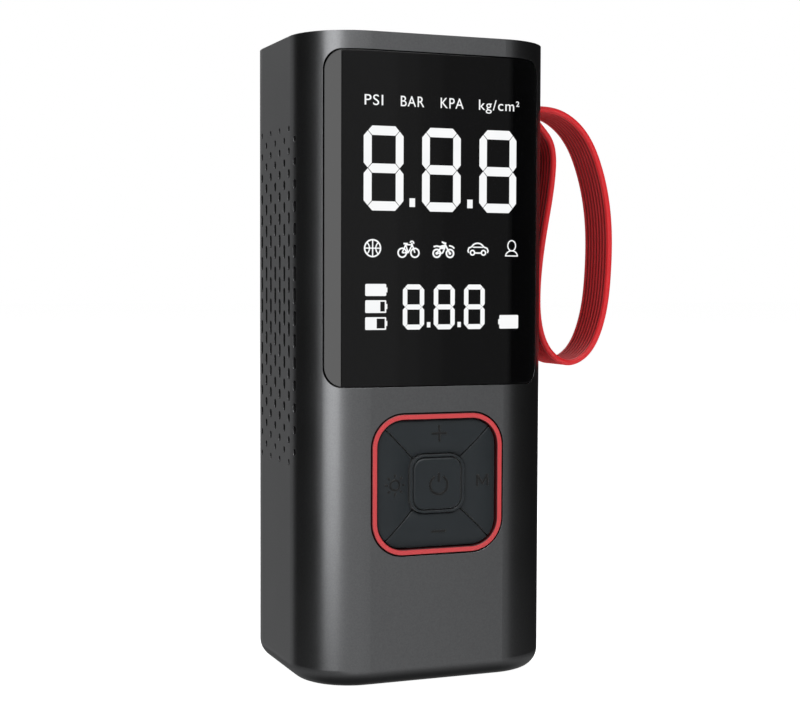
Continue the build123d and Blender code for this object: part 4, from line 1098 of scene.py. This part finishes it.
# %% Thread
def thread_grid(centre, bore, top, length, pitch, depth):
    """A triangle on a helix. The angle runs once round per pitch, and the ridge sinks into the wall at both
    ends, where its height fades to nothing."""
    turns = length / pitch
    steps = int(turns * 40)
    q = np.linspace(0, 1, steps)
    angle = q * turns * 2 * math.pi
    fade = np.clip(np.minimum(q, 1 - q) * turns * 2, 0.05, 1)
    radial = np.array([0.15, -1.0, 0.15, 0.4])
    rise = np.array([-0.42, 0.0, 0.42, 0.0]) * pitch
    reach = bore + np.where(radial < 0, fade[:, None] * radial * depth, radial * depth)
    x = centre[0] + reach * np.cos(angle)[:, None]
    y = centre[1] + reach * np.sin(angle)[:, None]
    z = top - (q * length)[:, None] + rise
    return np.stack([x, y, z], -1)


port_low, port_high = box_mm("hose_port")
nut_low, nut_high = box_mm("port_nut")
port_centre = (nut_low + nut_high)[:2] / 2
bore_r = 3.85
thread = thread_grid(port_centre, bore_r, float(port_high[2]) - 1.0, 6.5, 0.8, 0.42)
add_piece(build_mesh("port_thread", [(thread, False)]), brass, "housing")

# %% [markdown]
# ## Floor and light
# The floor is a plain white sheet lit from within, like a light table. A tall softbox at the front left
# draws the bright line down the corner and the panel. A dim fill lies over the front in six layers, with one
# more for the paint that spares the lens. One softbox lights the side, and three overhead ones open the top
# and the back. The rest is dark, so that the shape reads by its edges.


# %% Floor and surroundings
def light_table():
    """A wide white sheet that gives some of its own light, so that only a soft shadow is left on it."""
    material, tree, place = start_material("light_table_white_sheet")
    tooth = add_node(tree, "ShaderNodeTexNoise", {"Vector": place, "Scale": per_mm(3), "Detail": 2.0})
    sheet = add_node(tree, "ShaderNodeMix", {
        "Factor": tooth.outputs["Fac"], "A": linear("#f2f2f2"), "B": linear("#f6f6f6"),
    }, data_type="RGBA")
    shader = add_node(tree, "ShaderNodeBsdfPrincipled", {
        "Base Color": sheet.outputs["Result"],
        "Roughness": 0.9,
        "Emission Color": linear("#ffffff"),
        "Emission Strength": 0.985,
    })
    add_node(tree, "ShaderNodeOutputMaterial", {"Surface": shader.outputs[0]})
    half = 6.0
    mesh = bpy.data.meshes.new("studio_floor")
    corners = [(-half, -half, 0), (half, -half, 0), (half, half, 0), (-half, half, 0)]
    mesh.from_pydata(corners, [], [(0, 1, 2, 3)])
    mesh.materials.append(material)
    floor = bpy.data.objects.new("studio_floor", mesh)
    bpy.context.scene.collection.objects.link(floor)
    floor.visible_glossy = False


def surroundings(seen, level, table):
    """White where it is looked at. For what it lights it is dim, level and above, and lighter below the
    horizon, where polished parts mirror the table, except close under the object. The height of the direction
    drives the strength."""
    world = bpy.data.worlds.new("studio_world")
    bpy.context.scene.world = world
    world.use_nodes = True
    tree = world.node_tree
    tree.nodes.clear()
    direction_seen = add_node(tree, "ShaderNodeTexCoord").outputs["Generated"]
    height = add_node(tree, "ShaderNodeSeparateXYZ", {0: direction_seen}).outputs["Z"]
    near = add_node(tree, "ShaderNodeMapRange", {
        "Value": height, "From Min": -0.9, "From Max": -0.6, "To Min": 0.04, "To Max": table,
    })
    strength = add_node(tree, "ShaderNodeMapRange", {
        "Value": height, "From Min": -0.42, "From Max": -0.22, "To Min": near.outputs[0], "To Max": level,
    })
    looked_at = add_node(tree, "ShaderNodeLightPath").outputs["Is Camera Ray"]
    bright = add_node(tree, "ShaderNodeBackground", {"Color": linear("#ffffff"), "Strength": seen})
    dim = add_node(tree, "ShaderNodeBackground", {
        "Color": linear("#ffffff"), "Strength": strength.outputs["Result"],
    })
    both = add_node(tree, "ShaderNodeMixShader", {0: looked_at, 1: dim.outputs[0], 2: bright.outputs[0]})
    add_node(tree, "ShaderNodeOutputWorld", {"Surface": both.outputs[0]})


light_table()
surroundings(1.0, 0.01, 0.16)
print("white floor and surroundings")

# %% Softboxes
aim = Vector((0, 0, float(cad_box[0][2] + cad_box[1][2]) / 2))


def direction(azimuth, elevation):
    """The unit vector from the object, azimuth degrees to the left of the front and elevation above level."""
    a, e = math.radians(azimuth), math.radians(elevation)
    return Vector((-math.sin(a) * math.cos(e), -math.cos(a) * math.cos(e), math.sin(e)))


def softbox(name, left, right, low, high, distance, brightness):
    """An even upright light round the object, between two azimuths in degrees and two heights in metres. It
    stands square to its own middle direction. A lamp's power is its brightness times its area."""
    azimuth, spread_angle = (left + right) / 2, math.radians(left - right) / 2
    wide, tall = 2 * distance * math.tan(spread_angle), high - low
    away = direction(azimuth, 0)
    lamp = area_lamp(name, wide, tall, brightness)
    lamp.location = away * distance + Vector((0, 0, (low + high) / 2))
    lamp.rotation_quaternion = away.to_track_quat("Z", "Y")
    return lamp


def overhead(name, azimuth, elevation, distance, size, brightness):
    """A square light above the object, which faces it."""
    away = direction(azimuth, elevation)
    lamp = area_lamp(name, size, size, brightness)
    lamp.location = aim + away * distance
    lamp.rotation_quaternion = away.to_track_quat("Z", "Y")
    return lamp


def area_lamp(name, wide, tall, brightness):
    """A rectangular lamp that is itself out of sight."""
    data = bpy.data.lights.new(name, "AREA")
    data.shape = "RECTANGLE"
    data.size = wide
    data.size_y = tall
    data.energy = brightness * wide * tall * math.pi
    lamp = bpy.data.objects.new(name, data)
    bpy.context.scene.collection.objects.link(lamp)
    lamp.rotation_mode = "QUATERNION"
    lamp.visible_camera = False
    return lamp


def spare(lamp, names):
    """Flags that keep a lamp's light off the objects named, as a black card would."""
    kept_dark = bpy.data.collections.new(lamp.name + "_flags")
    lamp.light_linking.receiver_collection = kept_dark
    for name in names:
        kept_dark.objects.link(bpy.data.objects[name])
    for entry in kept_dark.collection_objects:
        entry.light_linking.link_state = "EXCLUDE"


softbox("corner_softbox", 66.5, 35, -0.14, 0.94, 0.9, 1.5)
for step, right in enumerate((-20.6, -21.6, -22.6, -33, -37, -41)):
    softbox(f"front_fill_{step}", 33, right, -0.7, 0.9, 1.3, 0.026)
softbox("side_softbox", 184, 142, -0.3, 0.6, 0.9, 0.19)
overhead("high_softbox", 8, 58, 0.9, 0.9, 2.7)
overhead("top_softbox", 20, 80, 0.9, 0.6, 0.4)
overhead("back_softbox", 195, 38, 0.9, 0.8, 0.9)
paint_fill = softbox("paint_fill", 33, -34, -0.7, 0.9, 1.31, 0.13)
spare(paint_fill, [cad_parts["display_lens"].name])
print("twelve softboxes; the front fill is laid in six layers so that its edges are soft")

# %% [markdown]
# ## Camera
# The camera stands a little to the left and barely above the middle of the object, with a short telephoto
# lens, so that the uprights stay nearly parallel.

# %% Camera
camera_azimuth = 21.48
camera_elevation = 2.70
camera_roll = math.radians(0.195)
camera_distance = 0.4066
sideways = 0.00055
upwards = 0.00064
lens_mm = 71.6


def place_camera():
    """Looks along the chosen direction; the small shifts move it in its own plane."""
    data = bpy.data.cameras.new("studio_camera")
    data.lens = lens_mm
    data.sensor_width = 36.0
    data.clip_start = 0.01
    camera = bpy.data.objects.new("studio_camera", data)
    bpy.context.scene.collection.objects.link(camera)
    back = direction(camera_azimuth, camera_elevation)
    turn = back.to_track_quat("Z", "Y").to_matrix() @ Matrix.Rotation(camera_roll, 3, "Z")
    camera.matrix_world = Matrix.Translation(
        aim + back * camera_distance + turn.col[0] * sideways + turn.col[1] * upwards
    ) @ turn.to_4x4()
    bpy.context.scene.camera = camera
    return camera


camera = place_camera()
bpy.context.scene.view_settings.view_transform = "Standard"
print("camera at", [round(c * 1000, 1) for c in camera.location])
